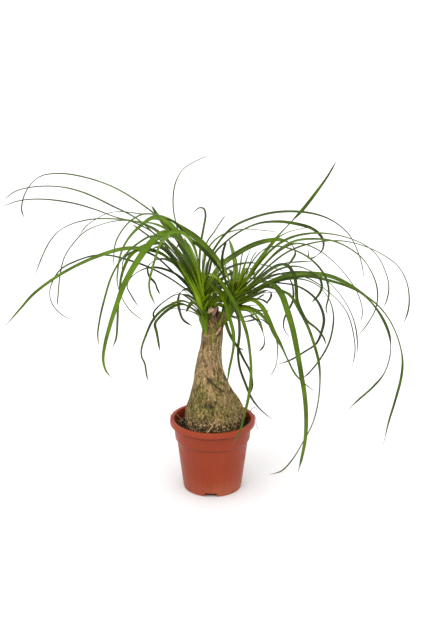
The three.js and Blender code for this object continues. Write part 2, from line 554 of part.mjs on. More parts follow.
const group = new THREE.Group();
group.add(toMesh("Pot", makePot(), potMaterial));
group.add(toMesh("Soil", largestPiece(makeSoil().subtract(trunkRoom)), soilMaterial));
group.add(toMesh("Trunk", trunk, barkMaterial));
group.add(toMesh("Crown_Left", leftCrown, leafMaterial));
group.add(toMesh("Crown_Right", rightCrown, leafMaterial));

export default group;
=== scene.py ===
# Looks of the potted ponytail palm: its leaves, trunk, soil and pot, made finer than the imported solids
# and in the same places. +Z is up and -Y is towards the front. Sizes and places are in millimetres, and
# MM turns them into the scene's metres.

import math
import random

import bmesh
import bpy
import numpy as np
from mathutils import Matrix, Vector, noise


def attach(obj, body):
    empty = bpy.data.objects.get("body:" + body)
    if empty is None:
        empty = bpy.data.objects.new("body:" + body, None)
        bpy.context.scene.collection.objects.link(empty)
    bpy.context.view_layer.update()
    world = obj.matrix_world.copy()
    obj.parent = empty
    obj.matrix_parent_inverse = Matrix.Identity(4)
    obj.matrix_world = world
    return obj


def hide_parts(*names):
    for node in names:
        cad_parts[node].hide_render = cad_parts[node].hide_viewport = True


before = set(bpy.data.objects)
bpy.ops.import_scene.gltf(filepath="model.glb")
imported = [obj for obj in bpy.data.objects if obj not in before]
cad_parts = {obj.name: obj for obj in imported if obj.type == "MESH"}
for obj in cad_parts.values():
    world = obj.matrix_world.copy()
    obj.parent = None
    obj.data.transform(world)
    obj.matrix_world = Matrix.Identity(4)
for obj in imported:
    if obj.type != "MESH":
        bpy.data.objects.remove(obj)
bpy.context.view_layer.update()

MM = 0.001

# ---------------------------------------------------------------- view, light and floor

# The viewpoint of the photograph, which looks at the aim from 1.6 m.
PITCH_DOWN = math.radians(18.3)
LENS = 66.6
SENSOR = 36
VIEW_DISTANCE = 1600
AIM = Vector((-2.9, 0, 255.3))

# Suns: where each stands, as a direction, and its strength.
SUNS = {"key": ((-0.15, -0.8, 1.3), 1.65), "top": ((0.05, 0.35, 1.4), 1.1)}
SUN_SIZE = math.radians(60)
FLOOR_REACH = 30000

# ---------------------------------------------------------------- sizes of the crowns

# Leaf routes, root first, as (x, z) on the upright plane through the pot's axis, seen from the sight
# point. front is how far the tip lies before that plane, and the points between slide along the line
# of sight. Each leaf is front, width, tilt in degrees, tone from dark to bright, route. The tone holds
# each leaf's own green together with painted light and shade.
SIGHT_POINT = np.array((-2.9, -1519, 757.7))
LEFT_LEAVES = [
    (-70, 6, 0, 0.35, [(-15, 272), (-28, 315), (-48, 360), (-68, 388), (-95, 411), (-130, 433),
     (-165, 446), (-200, 452), (-228, 448), (-246, 430), (-254, 405), (-251, 391)]),
    (-25, 6, 0, 0.22, [(-16, 266), (-30, 300), (-52, 338), (-75, 366), (-100, 390), (-135, 409),
     (-170, 426), (-200, 434), (-235, 434.5), (-262, 428), (-278, 416)]),
    (40, 6, 0, 0.2, [(-14, 270), (-32, 312), (-55, 348), (-80, 372), (-108, 387), (-130, 393.5),
     (-155, 403), (-185, 412), (-225, 417.5), (-255, 416), (-283, 407)]),
    (-110, 6, 0, 0.4, [(-13, 275), (-30, 312), (-48, 342), (-65, 364), (-82, 378), (-105, 387.5),
     (-130, 390.5), (-158, 390.5), (-185, 385), (-205, 375), (-219, 359), (-230, 338), (-243, 307)]),
    (-150, 5, 0, 0.35, [(-13, 276), (-30, 318), (-52, 352), (-76, 376), (-100, 386.5), (-125, 388.5),
     (-150, 383), (-170, 374), (-188, 356), (-200, 337), (-207, 310), (-211, 280), (-213, 267)]),
    (-190, 4, 0, 0.3, [(-14, 280), (-32, 335), (-56, 376), (-78, 396), (-98, 398), (-125, 401),
     (-142, 398), (-155, 391), (-168, 382), (-179, 368)]),
    (80, 7, 35, 0.42, [(-16, 262), (-32, 298), (-52, 328), (-72, 344), (-95, 349.5), (-120, 349.5),
     (-150, 341), (-185, 325.5), (-215, 308), (-245, 285), (-262, 266), (-287, 238)]),
    (10, 5.5, 10, 0.15, [(-15, 268), (-30, 287), (-48, 301), (-68, 314), (-92, 326), (-115, 334),
     (-138, 340), (-160, 340), (-185, 332), (-205, 321), (-217, 304), (-222, 286), (-218, 270),
     (-206, 256), (-190, 248)]),
    (130, 5, 10, 0.35, [(-14, 274), (-28, 318), (-46, 348), (-64, 364), (-82, 367), (-98, 358.5),
     (-113, 346), (-127, 329), (-138, 308), (-147, 280), (-154, 253), (-158, 228), (-157, 209)]),
    (-50, 8, 40, 0.3, [(-14, 275), (-26, 320), (-43, 358), (-60, 380), (-72, 394), (-82, 410)]),
    (-80, 8, 35, 0.52, [(-12, 280), (-24, 325), (-42, 362), (-60, 386), (-78, 392.5), (-96, 381),
     (-113, 363), (-123, 343), (-128, 318), (-129, 300), (-123, 280), (-112, 262), (-90, 244)]),
    (105, 10.2, 50, 0.56, [(-13, 278), (-24, 318), (-38, 350), (-52, 367), (-64, 371), (-76, 364.5),
     (-89, 350.5), (-97, 339), (-109, 320), (-121, 297), (-131, 270), (-141, 240), (-149, 210),
     (-151.5, 190), (-148, 174), (-140, 163)]),
    (60, 6.5, 30, 0.45, [(-16, 268), (-30, 305), (-48, 338), (-66, 356), (-84, 356), (-100, 349),
     (-112, 338), (-119, 324), (-124, 308), (-126, 290), (-129, 268), (-130.5, 245), (-133, 222),
     (-139, 207)]),
    (-35, 5.5, 15, 0.15, [(-15, 265), (-27, 290), (-42, 308), (-60, 319), (-80, 323.5), (-98, 319),
     (-111, 309), (-116, 297), (-111, 285), (-101, 267)]),
    (-100, 5, 15, 0.15, [(-16, 272), (-30, 303), (-46, 324), (-62, 334.5), (-77, 334), (-87, 325),
     (-86, 312), (-78, 302), (-75, 293), (-71, 285)]),
    (150, 4, 15, 0.45, [(-13, 282), (-22, 325), (-38, 352), (-56, 366), (-69, 358), (-76, 340),
     (-82, 320), (-86, 302), (-85, 288), (-78, 270)]),
    (45, 5, 25, 0.28, [(-11, 247), (-17, 258), (-28, 270), (-42, 276), (-56, 271), (-70, 262),
     (-82, 248), (-91, 228), (-98, 207), (-98, 195), (-94, 185), (-92, 170), (-90, 158)]),
    (90, 5, 20, 0.2, [(-11, 246), (-18, 255), (-30, 267), (-45, 271), (-60, 264), (-73, 252),
     (-79, 243), (-77, 231), (-75, 218), (-73, 203)]),
    (-60, 5, 15, 0.15, [(-12, 252), (-20, 272), (-32, 283), (-48, 285.5), (-62, 278), (-75, 267),
     (-81, 258), (-79, 248)]),
    (-130, 7, 25, 0.15, [(-11, 250), (-19, 277), (-30, 292), (-42, 290), (-46.5, 278), (-45, 263),
     (-40, 249), (-28, 240)]),
    (60, 7, 25, 0.12, [(-11, 249), (-18, 264), (-26, 274), (-32, 269), (-36, 260)]),
    (20, 5, 30, 0.4, [(-14, 280), (-28, 330), (-42, 362), (-50, 388), (-53, 412), (-50, 438),
     (-40, 457), (-24, 468), (-4, 477)]),
    (-40, 3.2, 20, 0.4, [(-14, 285), (-18, 325), (-16, 357), (-12, 380), (-9.5, 397), (-12, 405),
     (-18, 406), (-26, 399)]),
    (-200, 2.4, 15, 0.3, [(-13, 286), (-13, 325), (-8, 358), (2, 373), (10, 386), (17, 396)]),
    (-170, 2.8, 15, 0.3, [(-13, 283), (-13, 318), (-6, 350), (8, 366), (26, 374), (45, 377),
     (65, 375.5), (88, 373)]),
    (-60, 5, 24, 0.2, [(-14, 286), (-9, 312), (-3, 338), (10, 361), (28, 380), (50, 391), (78, 399),
     (108, 401), (138, 397), (162, 387), (182, 370), (194, 349), (202, 326), (206, 305)]),
    (-95, 6, 0, 0.22, [(-14, 285), (-6, 310), (2, 341), (18, 359), (38, 374), (62, 384.5), (88, 387),
     (112, 384), (134, 377), (147, 364), (148, 350), (139, 339.5), (130, 337), (129, 349)]),
    (-140, 8, 45, 0.36, [(-14, 282), (-2, 306), (12, 327), (30, 341), (52, 354), (74, 361),
     (92, 362), (106, 355), (111, 344), (106, 333), (101, 326)]),
    (-120, 5, 15, 0.12, [(-14, 280), (0, 300), (14, 318), (32, 327), (52, 330), (72, 326.5),
     (86, 322), (98, 318)]),
    (85, 9.4, 10, 0.56, [(-13, 270), (-8, 281), (-1, 287), (6, 288), (12, 282), (18, 268), (23, 250),
     (28, 230), (28.5, 212), (26, 193), (22.5, 174), (20.5, 154)]),
    (120, 10.4, 10, 0.44, [(-14, 282), (-12, 300), (-6, 313), (5, 308.5), (17, 294), (29, 273),
     (38.5, 253), (46.5, 228), (51, 200), (53, 170), (51, 142), (45, 110), (38, 82), (27, 58)]),
    (-245, 6, -28, 0.12, [(-13, 276), (0, 290), (14, 300), (30, 306.5), (46, 308.5), (62, 306),
     (78, 302.5), (94, 301), (112, 298), (130, 288.5), (144, 274), (152.5, 252), (151, 235),
     (143, 214), (127, 202), (106, 189), (87, 183)]),
    (55, 9, 70, 0.6, [(-13, 284), (-17, 312), (-22, 340), (-29, 359), (-40, 371), (-52, 373),
     (-62, 368), (-72, 357)]),
    (-90, 8, 30, 0.55, [(-13, 282), (-22, 312), (-33, 340), (-42, 360), (-52, 372), (-62, 380),
     (-72, 390)]),
    (15, 6, 15, 0.12, [(-15, 268), (-29, 290), (-44, 307), (-60, 323), (-75, 337), (-87, 344),
     (-100, 347), (-112, 343), (-120, 334), (-122.5, 320), (-121, 309)]),
    (-45, 6, 15, 0.15, [(-15, 274), (-28, 298), (-40, 316), (-52, 333), (-64, 347), (-74, 352),
     (-84, 347), (-90, 343)]),
    (-140, 5, 10, 0.15, [(-15, 276), (-30, 306), (-46, 330), (-62, 348), (-78, 361), (-92, 372),
     (-108, 384)]),
    (15, 6, 25, 0.45, [(-14, 280), (-28, 322), (-44, 354), (-57, 372), (-68, 380), (-80, 384.5),
     (-95, 386.5), (-110, 388.5)]),
    (-230, 4, 0, 0.5, [(-14, 285), (-20, 322), (-27, 344), (-35, 358), (-44, 358), (-50, 346)]),
    (-215, 3, 0, 0.35, [(-13, 286), (-10, 318), (-6, 332), (-1, 333), (4, 322)]),
    (-40, 6, 60, 0.4, [(-12, 264), (-9, 276), (-7, 290), (-4, 302), (0, 312), (7, 320)]),
    (-75, 7, 60, 0.3, [(-11, 262), (-4, 275), (4, 287), (13, 298), (24, 305), (36, 308)]),
    (-30, 6, 65, 0.5, [(-11, 260), (-4, 269), (4, 276), (12, 277), (21, 272), (29, 262)]),
    (40, 5, 50, 0.35, [(-11, 262), (-3, 278), (3, 292), (7, 306), (8, 320)]),
    (-110, 7, 60, 0.2, [(-12, 266), (-6, 284), (4, 299), (17, 311), (32, 318)]),
    (-20, 5, 15, 0.3, [(-13, 276), (-20, 300), (-29, 322), (-38, 342), (-47, 356)]),
    (-110, 5, 10, 0.2, [(-13, 280), (-18, 305), (-25, 328), (-32, 348), (-38, 366)]),
]
RIGHT_LEAVES = [
    (70, 9.5, 78, 0.42, [(28, 282), (23, 302), (12, 325), (-4, 346), (-24, 366), (-44, 380),
     (-60, 391), (-75, 396), (-92, 397), (-108, 389), (-121, 375), (-130, 358), (-133, 341),
     (-134, 322)]),
    (45, 6, 65, 0.1, [(27, 280), (14, 312), (0, 334), (-16, 351), (-30, 363), (-42, 376), (-52, 387),
     (-66, 392)]),
    (-40, 7.4, 22, 0.38, [(28, 276), (42, 298), (58, 326), (78, 354), (98, 379), (118, 401), (138, 428),
     (152, 449), (163, 470)]),
    (-150, 8, 10, 0.5, [(30, 280), (31, 305), (30, 330), (26, 350), (22, 363)]),
    (60, 4.5, 10, 0.02, [(27, 282), (17, 306), (12.5, 330), (14, 346), (19, 362)]),
    (-30, 6.5, 18, 0.35, [(30, 280), (48, 306), (66, 332), (84, 352), (104, 364.5), (130, 370.5),
     (158, 370), (184, 364), (206, 354), (222, 340), (233, 320), (239, 300), (238, 280), (233, 265)]),
    (30, 6.5, 15, 0.35, [(30, 278), (50, 303), (72, 330), (92, 350), (112, 360.5), (138, 363),
     (162, 360), (184, 350), (203, 335), (217, 313), (224, 290), (223, 266), (213, 244), (198, 222)]),
    (-80, 6, 0, 0.3, [(31, 276), (50, 298), (75, 324), (98, 343), (122, 354), (150, 360), (178, 360),
     (205, 353), (230, 341), (250, 326), (263, 304), (268, 278), (267, 260), (262, 243)]),
    (85, 5.5, 5, 0.2, [(29, 277), (40, 306), (54, 332), (68, 348), (85, 353), (110, 347.5),
     (132, 335), (148, 318), (156, 301), (158, 284), (155, 265), (158, 255)]),
    (110, 5.8, 25, 0.12, [(30, 272), (50, 296), (70, 316), (88, 327), (101, 326), (110, 313),
     (113.5, 295), (115, 278), (121, 262), (129, 248), (143, 236), (153, 223), (157, 212)]),
    (-130, 5, 15, 0.35, [(31, 270), (55, 298), (78, 320), (98, 329), (118, 331.5), (136, 332.5)]),
    (45, 6.6, 45, 0.36, [(28, 268), (44, 280), (64, 295), (86, 307), (108, 313.5), (132, 315),
     (158, 311.5), (184, 300), (206, 285), (228, 267), (244, 246), (256, 220), (263, 192),
     (263, 165), (256, 128), (249, 98), (243, 62)]),
    (0, 6.2, 30, 0.28, [(27, 264), (42, 275), (62, 290), (84, 302), (106, 309), (130, 311),
     (156, 305.5), (184, 296.5), (203, 286.5), (220, 269.5), (235, 247), (244, 224), (246, 200),
     (239, 171), (224, 150), (205, 131), (191, 116)]),
    (150, 9.4, 7, 0.4, [(28, 270), (46, 290), (64, 302), (80, 300), (93, 286), (102, 262),
     (110, 235), (117, 202), (123, 170), (129, 136), (132, 100), (131.5, 70), (127.5, 42), (123, 20)]),
    (100, 6.2, 25, 0.32, [(28, 262), (48, 280), (70, 295), (92, 291), (106, 283), (118, 263),
     (130, 240), (140, 213), (147, 187), (149.5, 160), (147.5, 124), (141, 94), (129, 67), (114, 39),
     (99, 21), (82, 15)]),
    (60, 8, 35, 0.42, [(27, 264), (42, 276), (57, 276), (68, 266), (76, 250), (84, 231), (94, 212),
     (104, 190), (115, 169), (128, 155), (144, 143)]),
    (-70, 7, 45, 0.42, [(26, 260), (38, 266), (52, 265), (64, 258), (74, 247), (84, 232), (89, 215),
     (89.5, 198), (88, 182), (80, 165)]),
    (-110, 5, 35, 0.3, [(25, 258), (36, 263), (48, 262), (58, 251), (66, 238), (71.5, 222),
     (70, 210), (64, 203)]),
    (70, 7, 25, 0.05, [(22, 260), (29, 262), (35, 250), (36.5, 230), (34.5, 205), (37, 180),
     (45, 156), (54, 134), (66, 117), (85, 100)]),
    (48, 4.4, 15, 0.15, [(16, 254), (18.5, 245), (22, 233), (27, 221), (34.5, 209), (43, 191), (52, 173),
     (55.5, 152), (51, 137)]),
    (-120, 5, 15, 0.12, [(28, 264), (44, 277), (60, 285), (74, 291), (79.5, 287), (78, 279),
     (73, 273)]),
    (90, 5, 15, 0.15, [(26, 264), (40, 278), (55, 279), (68, 277.5), (76, 272)]),
    (-160, 5, 15, 0.15, [(29, 274), (52, 296), (76, 310), (96, 314), (106, 304), (109.5, 290),
     (109, 276), (104, 264), (98, 250), (98, 236), (109, 220)]),
    (75, 5, 15, 0.2, [(29, 272), (55, 296), (84, 312), (112, 317), (134, 315), (146, 306),
     (148, 294), (143, 283), (135, 274)]),
    (-150, 4.5, 15, 0.22, [(29, 270), (56, 292), (86, 308), (112, 313), (134, 306), (154, 292),
     (172, 276), (185, 257), (193, 232), (197, 205), (194, 178)]),
    (-125, 4.5, 15, 0.3, [(31, 278), (56, 310), (82, 340), (104, 355), (120, 356.5), (140, 349),
     (162, 333), (182, 311), (197, 288), (205, 262), (203, 244)]),
    (-170, 4.5, 15, 0.3, [(30, 268), (58, 298), (88, 320), (112, 325), (134, 318), (155, 305),
     (174, 285), (188, 262), (196, 240), (200, 215), (201, 200)]),
    (-190, 4.5, 15, 0.3, [(28, 264), (58, 288), (90, 304), (120, 307), (144, 297), (158, 280),
     (165, 258), (165, 238), (160, 214), (148, 190), (134, 171), (126, 163)]),
    (-90, 5, 0, 0.12, [(25, 256), (34, 250), (46, 246.5), (58, 249), (66, 250), (74, 244), (81, 238)]),
    (50, 4.5, 0, 0.15, [(26, 256), (36, 252), (45, 254), (52, 254), (60, 249), (68, 244)]),
    (-60, 5, 0, 0.15, [(28, 262), (40, 272), (52, 276.5), (62, 280), (71, 286.5)]),
    (-200, 2.6, 0, 0.3, [(29, 280), (34, 304), (37, 322), (39, 338), (41, 346)]),
    (-185, 2.2, 0, 0.3, [(31, 282), (44, 309), (50, 328), (55, 340), (60, 347)]),
    (-220, 6, 0, 0.45, [(31, 284), (38, 308), (44, 321), (51, 322), (57, 312), (59, 298)]),
    (-205, 6, 0, 0.4, [(30, 285), (27, 308), (24, 319), (18, 320), (12, 311)]),
    (-60, 7, 60, 0.25, [(27, 268), (17, 277), (6, 281), (-5, 278), (-14, 270)]),
    (-85, 7, 65, 0.35, [(27, 272), (15, 286), (1, 294), (-14, 294), (-26, 288)]),
    (35, 6, 55, 0.4, [(26, 266), (18, 280), (8, 290), (-1, 297), (-9, 306)]),
    (-120, 7, 55, 0.2, [(28, 276), (19, 292), (8, 303), (-6, 310), (-20, 312)]),
    (-45, 6, 60, 0.5, [(24, 262), (16, 268), (8, 271), (1, 268), (-4, 261)]),
    (-60, 5, 30, 0.15, [(26, 262), (36, 268), (46, 268.5), (56, 265), (66, 262), (78, 262)]),
    (20, 5, 20, 0.45, [(24, 256), (32, 262), (42, 265), (52, 262), (60, 254), (66, 242), (70, 228)]),
    (-100, 4, 10, 0.15, [(25, 252), (36, 252), (48, 254), (60, 258), (72, 258)]),
    (-120, 2.4, 10, 0.3, [(30, 270), (46, 305), (66, 340), (84, 362), (97, 371), (114, 376.5),
     (132, 380)]),
    (52, 4, 15, 0.1, [(16, 254), (18, 245), (21, 234), (26, 222.5), (31.5, 213.5), (37, 207.5),
     (43, 205)]),
]

# Each crown's core: its foot and head, and their radii.
LEFT_CORE = ((-8, -3, 231), (-17, -3, 290), 7, 3)
RIGHT_CORE = ((14, 3, 250), (33, 4, 290), 8, 3)
CORE_RINGS = 16
CORE_SIDES = 24
CORE_ROUNDING = (-0.06, 0.2)  # shares of its height between which it is rounded in
LEFT_SEED = 3
RIGHT_SEED = 5

# Twists of single leaves of a table: where each starts and ends, as shares of the length, and degrees.
LEFT_TWISTS = {
    1: [(0.5, 0.9, 12)],
    2: [(0.5, 0.9, 12)],
    11: [(0.6, 0.85, -25)],
    13: [(0.35, 0.6, -12)],
    18: [(0.25, 0.45, -28)],
    26: [(0.3, 0.7, 75), (0.78, 0.9, -50)],
    27: [(0.55, 0.8, -30)],
}
RIGHT_TWISTS = {
    0: [(0.22, 0.5, -74), (0.6, 0.8, -15)],
    1: [(0.35, 0.6, -12)],
    2: [(0.38, 0.5, -42), (0.52, 0.64, -52)],
    5: [(0.25, 0.5, -20)],
    6: [(0.3, 0.5, -15), (0.6, 0.8, -25)],
    11: [(0.36, 0.5, -35), (0.7, 0.85, 55)],
    12: [(0.32, 0.46, -14), (0.54, 0.64, 38), (0.67, 0.76, -58), (0.8, 0.87, -38)],
    13: [(0.17, 0.33, 38)],
    14: [(0.5, 0.62, -25), (0.8, 0.9, 22)],
    15: [(0.52, 0.7, -30)],
}

# Places along a leaf, as shares of its length from the root.
OPENED_AT = 0.1  # from here on the blade is opened out
FULL_WIDTH_AT = 0.12  # from here on it tapers
TILTED_AT = 0.3  # from here on it has its tilt
POINTED_FROM = 0.93  # from here on its tip narrows to a point
STATION_STEP = 3.2
FEWEST_STATIONS = 24

# Across a leaf, as shares of its full width except where a line says otherwise.
ROOT_WIDTH = 1.1
WIDEST_TIP = 0.55
TIP_WIDTH = 2.4  # millimetres
POINT_WIDTH = 0.25  # share of the tip's width
TAPER_CURVE = 2
ROOT_FOLD = 0.34  # how far the margins stand above the midrib
FOLD = 0.13  # the same where the blade is opened out
FOLD_CURVE = 1.5
SECTION = (-1, -0.55, 0, 0.55, 1)  # places across, as shares of half the width
MAP_HALF_WIDTH = 4  # millimetres that half of every leaf takes on the map of its veins

BLADE_THICKNESS = 0.55
THICKEST = 0.3  # share of its width that a blade is thick at most
MARGIN_THICKNESS = 0.45  # share of the thickness at the midrib
SWAY = 9  # degrees
SWAYS = (1.5, 3)  # fewest and most along a leaf
DEPTH_CURVE = 1.2  # the power by which a leaf comes forward along its length
ROOT_REACH = (0.12, 0.9)  # lowest and highest root, as shares of the core's height

# The short leaves in the heart of each crown, in a spiral round its core. These pairs are of the
# outermost and of the innermost.
INNER_LEAVES = 24
GOLDEN_ANGLE = math.radians(137.508)
INNER_LEANS = (56, 8)  # degrees from the core's axis
INNER_ROOTS = (0.02, 0.72)  # shares of the core's height
INNER_REACHES = (0.45, 0.18)  # shares of the core's radius at its foot
INNER_SHORTENINGS = (1, 0.65)
INNER_TONES = (0.08, 0.42)

# And these are the least and the most that chance gives a leaf.
INNER_AZIMUTHS = (-0.2, 0.2)  # radians off the spiral
INNER_LENGTHS = (50, 125)
INNER_LEAN_SLIPS = (-7, 7)
INNER_DROOPS = (0.2, 1.3)
INNER_BREADTHS = (0.8, 1.15)
INNER_TURNS = (-25, 25)  # degrees at the tip
INNER_TONE_SLIPS = (0, 0.22)

# Along an inner leaf: at its root, at its broad base and above that, and what is left at its tip.
INNER_WIDTHS = (1.5, 7, 4)
INNER_BROAD_AT = 0.16
INNER_SLIM_AT = 0.4
INNER_TIP = 0.15
INNER_FOLDS = (0.36, 0.12)  # at the root and further up

# Across a leaf base, as shares of its full width.
BASE_FOOT = 0.2
BASE_HEAD = 0.4
BASE_FOLD = 0.24
BASE_GREEN = 0.07  # metres by which the darkest base reads as further from its yellow foot
BASE_STATIONS = 40

# Leaf bases that run up from the bark: points, width and tone.
LEFT_BASES = [
    ([(-5, -7, 249), (-7, -7.5, 258), (-10, -7.5, 268), (-12, -6, 284), (-13, -4, 306)], 7, 0.2),
    ([(-8.2, -14.2, 231), (-9.2, -12.8, 240), (-10.5, -11, 251), (-13, -9.5, 264), (-17, -7, 284),
      (-22, -4, 308)], 8.5, 0.42),
    ([(-13, -7, 236), (-14, -7, 246), (-15.5, -6.5, 258), (-18, -5, 275), (-24, -3, 300)], 8.5, 0.5),
    ([(-12, 5, 236), (-13, 5, 250), (-15, 4, 265), (-18, 3, 290)], 11, 0.3),
    ([(-11.5, -11, 252), (-15, -11, 265), (-19, -10.5, 279), (-24, -9.5, 293), (-35, -7.5, 313),
      (-48, -5, 335)], 6.5, 1.05),
]
RIGHT_BASES = [
    ([(8.5, -10.5, 244), (12, -9.5, 251), (17, -8, 260), (24, -5.5, 272), (33, -2, 290)], 9, 0.5),
    ([(15, -7, 244), (19, -6.5, 252), (24, -5, 262), (31, -3, 275), (42, 0, 294)], 10, 0.35),
    ([(11, -5, 258), (15, -5, 264), (20, -5, 273), (26, -3, 286), (33, 0, 305)], 8, 0.2),
    ([(16, 8, 246), (21, 8, 256), (26, 7, 268), (34, 5, 290)], 11, 0.3),
]

# ---------------------------------------------------------------- sizes of the trunk

# Sections from the buried end to the top: height, centre in X and radius.
TRUNK_SECTIONS = [
    (46, 1, 12),
    (56, 1, 26),
    (70, 1.5, 36),
    (86, 2, 40.5),
    (102, 1.5, 42.4),
    (116, 1.7, 41.1),
    (128, 1.4, 36.6),
    (142, -0.8, 30.4),
    (156, -3, 24.8),
    (174, -5, 20.2),
    (194, -4.5, 17.1),
    (214, -2.1, 15.1),
    (232, -0.8, 14.8),
    (246, 1.6, 12.6),
    (254, 2, 9.5),
]
TRUNK_LOBES = [(3, 0.035, 0.4), (5, 0.02, 1.9)]  # how many, depth as a share of the radius, and phase
TRUNK_RINGS = 200
TRUNK_SIDES = 160
BRANCH_RINGS = 12
BRANCH_SIDES = 40
BARK_GRAIN = 0.9  # size of the cells that the trunk's surface is made of

# The stub and the two necks: foot, head and their radii.
BRANCHES = [
    ((1, 0, 244), (1.5, -1, 268), 8.5, 7),
    ((-5, -1, 210), (-8.5, -2, 243), 9, 6.5),
    ((3, 1, 230), (12.5, 2.5, 249), 8.5, 6.5),
]

# Heights of the bark's relief, how far all of it is set in, and how dark the painted shade in its crack and
# on the ledge under the cut is.
FISSURES = 0.36
WRINKLES = 0.36
GRAINS = (0.2, 0.9)  # on the neck and near the soil
SWELLS = 0.9
NECK_RINGS = 0.12
NECK_RING_STEP = 4.3
NECK_RING_WAVER = 0.9  # share of a step
CRACK_DEPTH = 1.5
LEDGE_DEPTH = 1.1
SET_IN = 0.25
CRACK_PAINTED_SHADE = 0.95
LEDGE_PAINTED_SHADE = 0.9

# Heights above the floor where the bark starts to change and where it has changed.
GRAINY_BELOW = (125, 100)
RINGED_ABOVE = (186, 205)
OLIVE_BELOW = (178, 140)
PINK_ABOVE = (170, 200)
SOILED_BELOW = (124, 104)
HUSKS_ABOVE = (222, 246)

# The slanting crack in the front: x, z and half width. It is pressed in and darkened with painted shade.
CRACK = [
    (-6, 170.5, 1.2),
    (-3.5, 168, 2.1),
    (-1, 164.5, 1.1),
    (3, 162, 0.6),
    (5.5, 158.5, 0.8),
    (9.5, 156, 0.6),
    (12, 152.5, 1.2),
    (15, 150.5, 0.6),
]

# The cut face on the stub's left side, and the ledge of bark below it, pressed in and darkened with a painted
# shadow.
CUT_PLACE = (-2, -6.5, 264.5)
CUT_FACING = (-0.25, -0.6, 0.76)
CUT_ABOVE = (252, 256)  # heights between which the cut comes in
CUT_AXIS = (1.5, -1)
CUT_REACH = 11  # distance from that axis
CUT_RIGHT_END = 3.5
CUT_EDGE = 0.6  # depth over which bark gives way to the cut
LEDGE_BELOW = 2.4
LEDGE_HALF_WIDTH = 1.3

# Marks on the front: x, z, half width, half height and strength.
GROWTHS = [
    (-1, 224, 4.5, 8, 0.75),
    (1, 239, 4.5, 9, 0.6),
    (4, 232, 3.5, 5, 0.6),
    (9, 246, 3.5, 5, 0.9),
    (-17, 152, 5, 12, 0.5),
    (9, 163, 10, 4, 0.45),
    (-3, 130, 11, 4, 0.5),
    (-24, 126, 6, 9, 0.4),
]
STAINS = [
    (-2.2, 134, 5.5, 3.6, 1),
    (8, 262, 4, 6, 0.8),
    (-2.5, 257.5, 4.5, 1.6, 0.9),
    (8, 232, 3.5, 6, 0.4),
    (-24, 150, 2.5, 14, 0.3),
    (-29, 128, 2.5, 12, 0.3),
    (-5.5, 169, 3, 2.6, 0.7),
    (6, 126, 5, 2.2, 0.4),
    (-7, 115, 13, 4, 0.35),
]
PALES = [
    (-2, 263, 4.6, 2.4, 1),
    (-3.5, 179, 3, 8, 0.5),
    (-12, 168, 1.5, 3.5, 0.4),
    (-3, 151, 2, 9, 0.35),
    (17, 142, 5, 8, 0.3),
    (-9, 196, 1.6, 4, 0.35),
    (8.8, 111.6, 1.1, 1.5, 0.9),
]

# ---------------------------------------------------------------- sizes of the pot

POT_HEIGHT = 104
RIM_RADIUS = 60
LIP_HEIGHT = 7.5
LIP_ROUND = 1.9
LIP_THICKNESS = 1.5  # of the lip's hanging skirt
LIP_HOLLOW_TOP = 100.5
COLLAR_HEIGHT = 21.5
COLLAR_RADIUS = 55
COLLAR_TAPER = 2.2
STEP_HEIGHT = 3
STEP_DEPTH = 2.6
FOOT_RADIUS = 41.5
FOOT_ROUND = 1.4
SKIRT_ROUND = 0.5
MOUTH_ROUND = 1.6
MOUTH_STEP = 0.6  # from the collar's outside to the rim's round
CUT_EDGE_ROUND = 0.3
WALL = 1.6
FLOOR = 2.6
POT_SIDES = 216
DRAIN_NOTCHES = 4
FIRST_NOTCH = -3  # degrees from the front
NOTCH_WIDTH = 17.5
NOTCH_HEIGHT = 5.8
NOTCH_DEPTH = 6
NOTCH_ROUND = 1.5
FLOOR_HOLES = 6
FLOOR_HOLE_RADIUS = 4
HOLE_SIDES = 32
FLOOR_HOLE_CIRCLE = 22
FLOOR_RING = 32.5  # points of the underside, between the holes and the notches
CUTTER_FOOT = -1  # cutters start below the pot
LIP_FOOT = POT_HEIGHT - LIP_HEIGHT
COLLAR_FOOT = LIP_FOOT - COLLAR_HEIGHT

# ---------------------------------------------------------------- sizes of the soil and the dry bits

SOIL_LEVEL = 90

# Height, then radians a millimetre along X and along Y, and phase.
SOIL_WAVES = [(0.9, 0.11, 0.05, 1), (0.8, -0.04, 0.13, 2.4), (0.5, 0.23, -0.19, 0)]
SOIL_LUMPS = [(1.3, 0.22), (0.8, 0.6)]  # height, and cells a millimetre
SOIL_SHADES = (0.25, 0.3, 0.8)  # middle, spread, and cells a millimetre
SOIL_EDGE = 52.3
LOW_EDGE = 1.5  # width along the wall in which the lumps are low
LOW_LUMPS = 0.3  # share of their height there
SOIL_INSIDE = 30  # the surface runs in to here, under the trunk
SOIL_HOLLOW = 12  # depth of the hollow inside it
SOIL_BODY = [(1, 2.9), (39.3, 2.9), (48, 71.5), (50.7, 76)]  # up the pot's inside wall
SOIL_RINGS = 26
SOIL_SIDES = 200

# Loose crumbs on the soil: these pairs are the least and the most.
CRUMBS = 1500
SOIL_SEED = 7
CRUMB_RING = (36, 51.4)  # distance from the pot's axis
CRUMB_SIZES = (0.5, 1.6)
CRUMB_STRETCHES = (0.6, 1.25)
CRUMB_LIFTS = (-0.2, 1.1)
CRUMB_UNEVENNESS = 0.3
PALEST_CRUMB = 0.98
FEW_LARGE = 2.2  # the higher these powers, the fewer crumbs are large and pale
FEW_PALE = 1.4

STRAND_SIDES = 6
STRAND_SIDEWAYS = (0.31, 0.2, 0.93)  # a direction that no fibre runs in
STRAND_END = 0.4  # share of a fibre's radius that is left at its end
SCALE_STATIONS = 16
SCALE_FOLD = 0.2

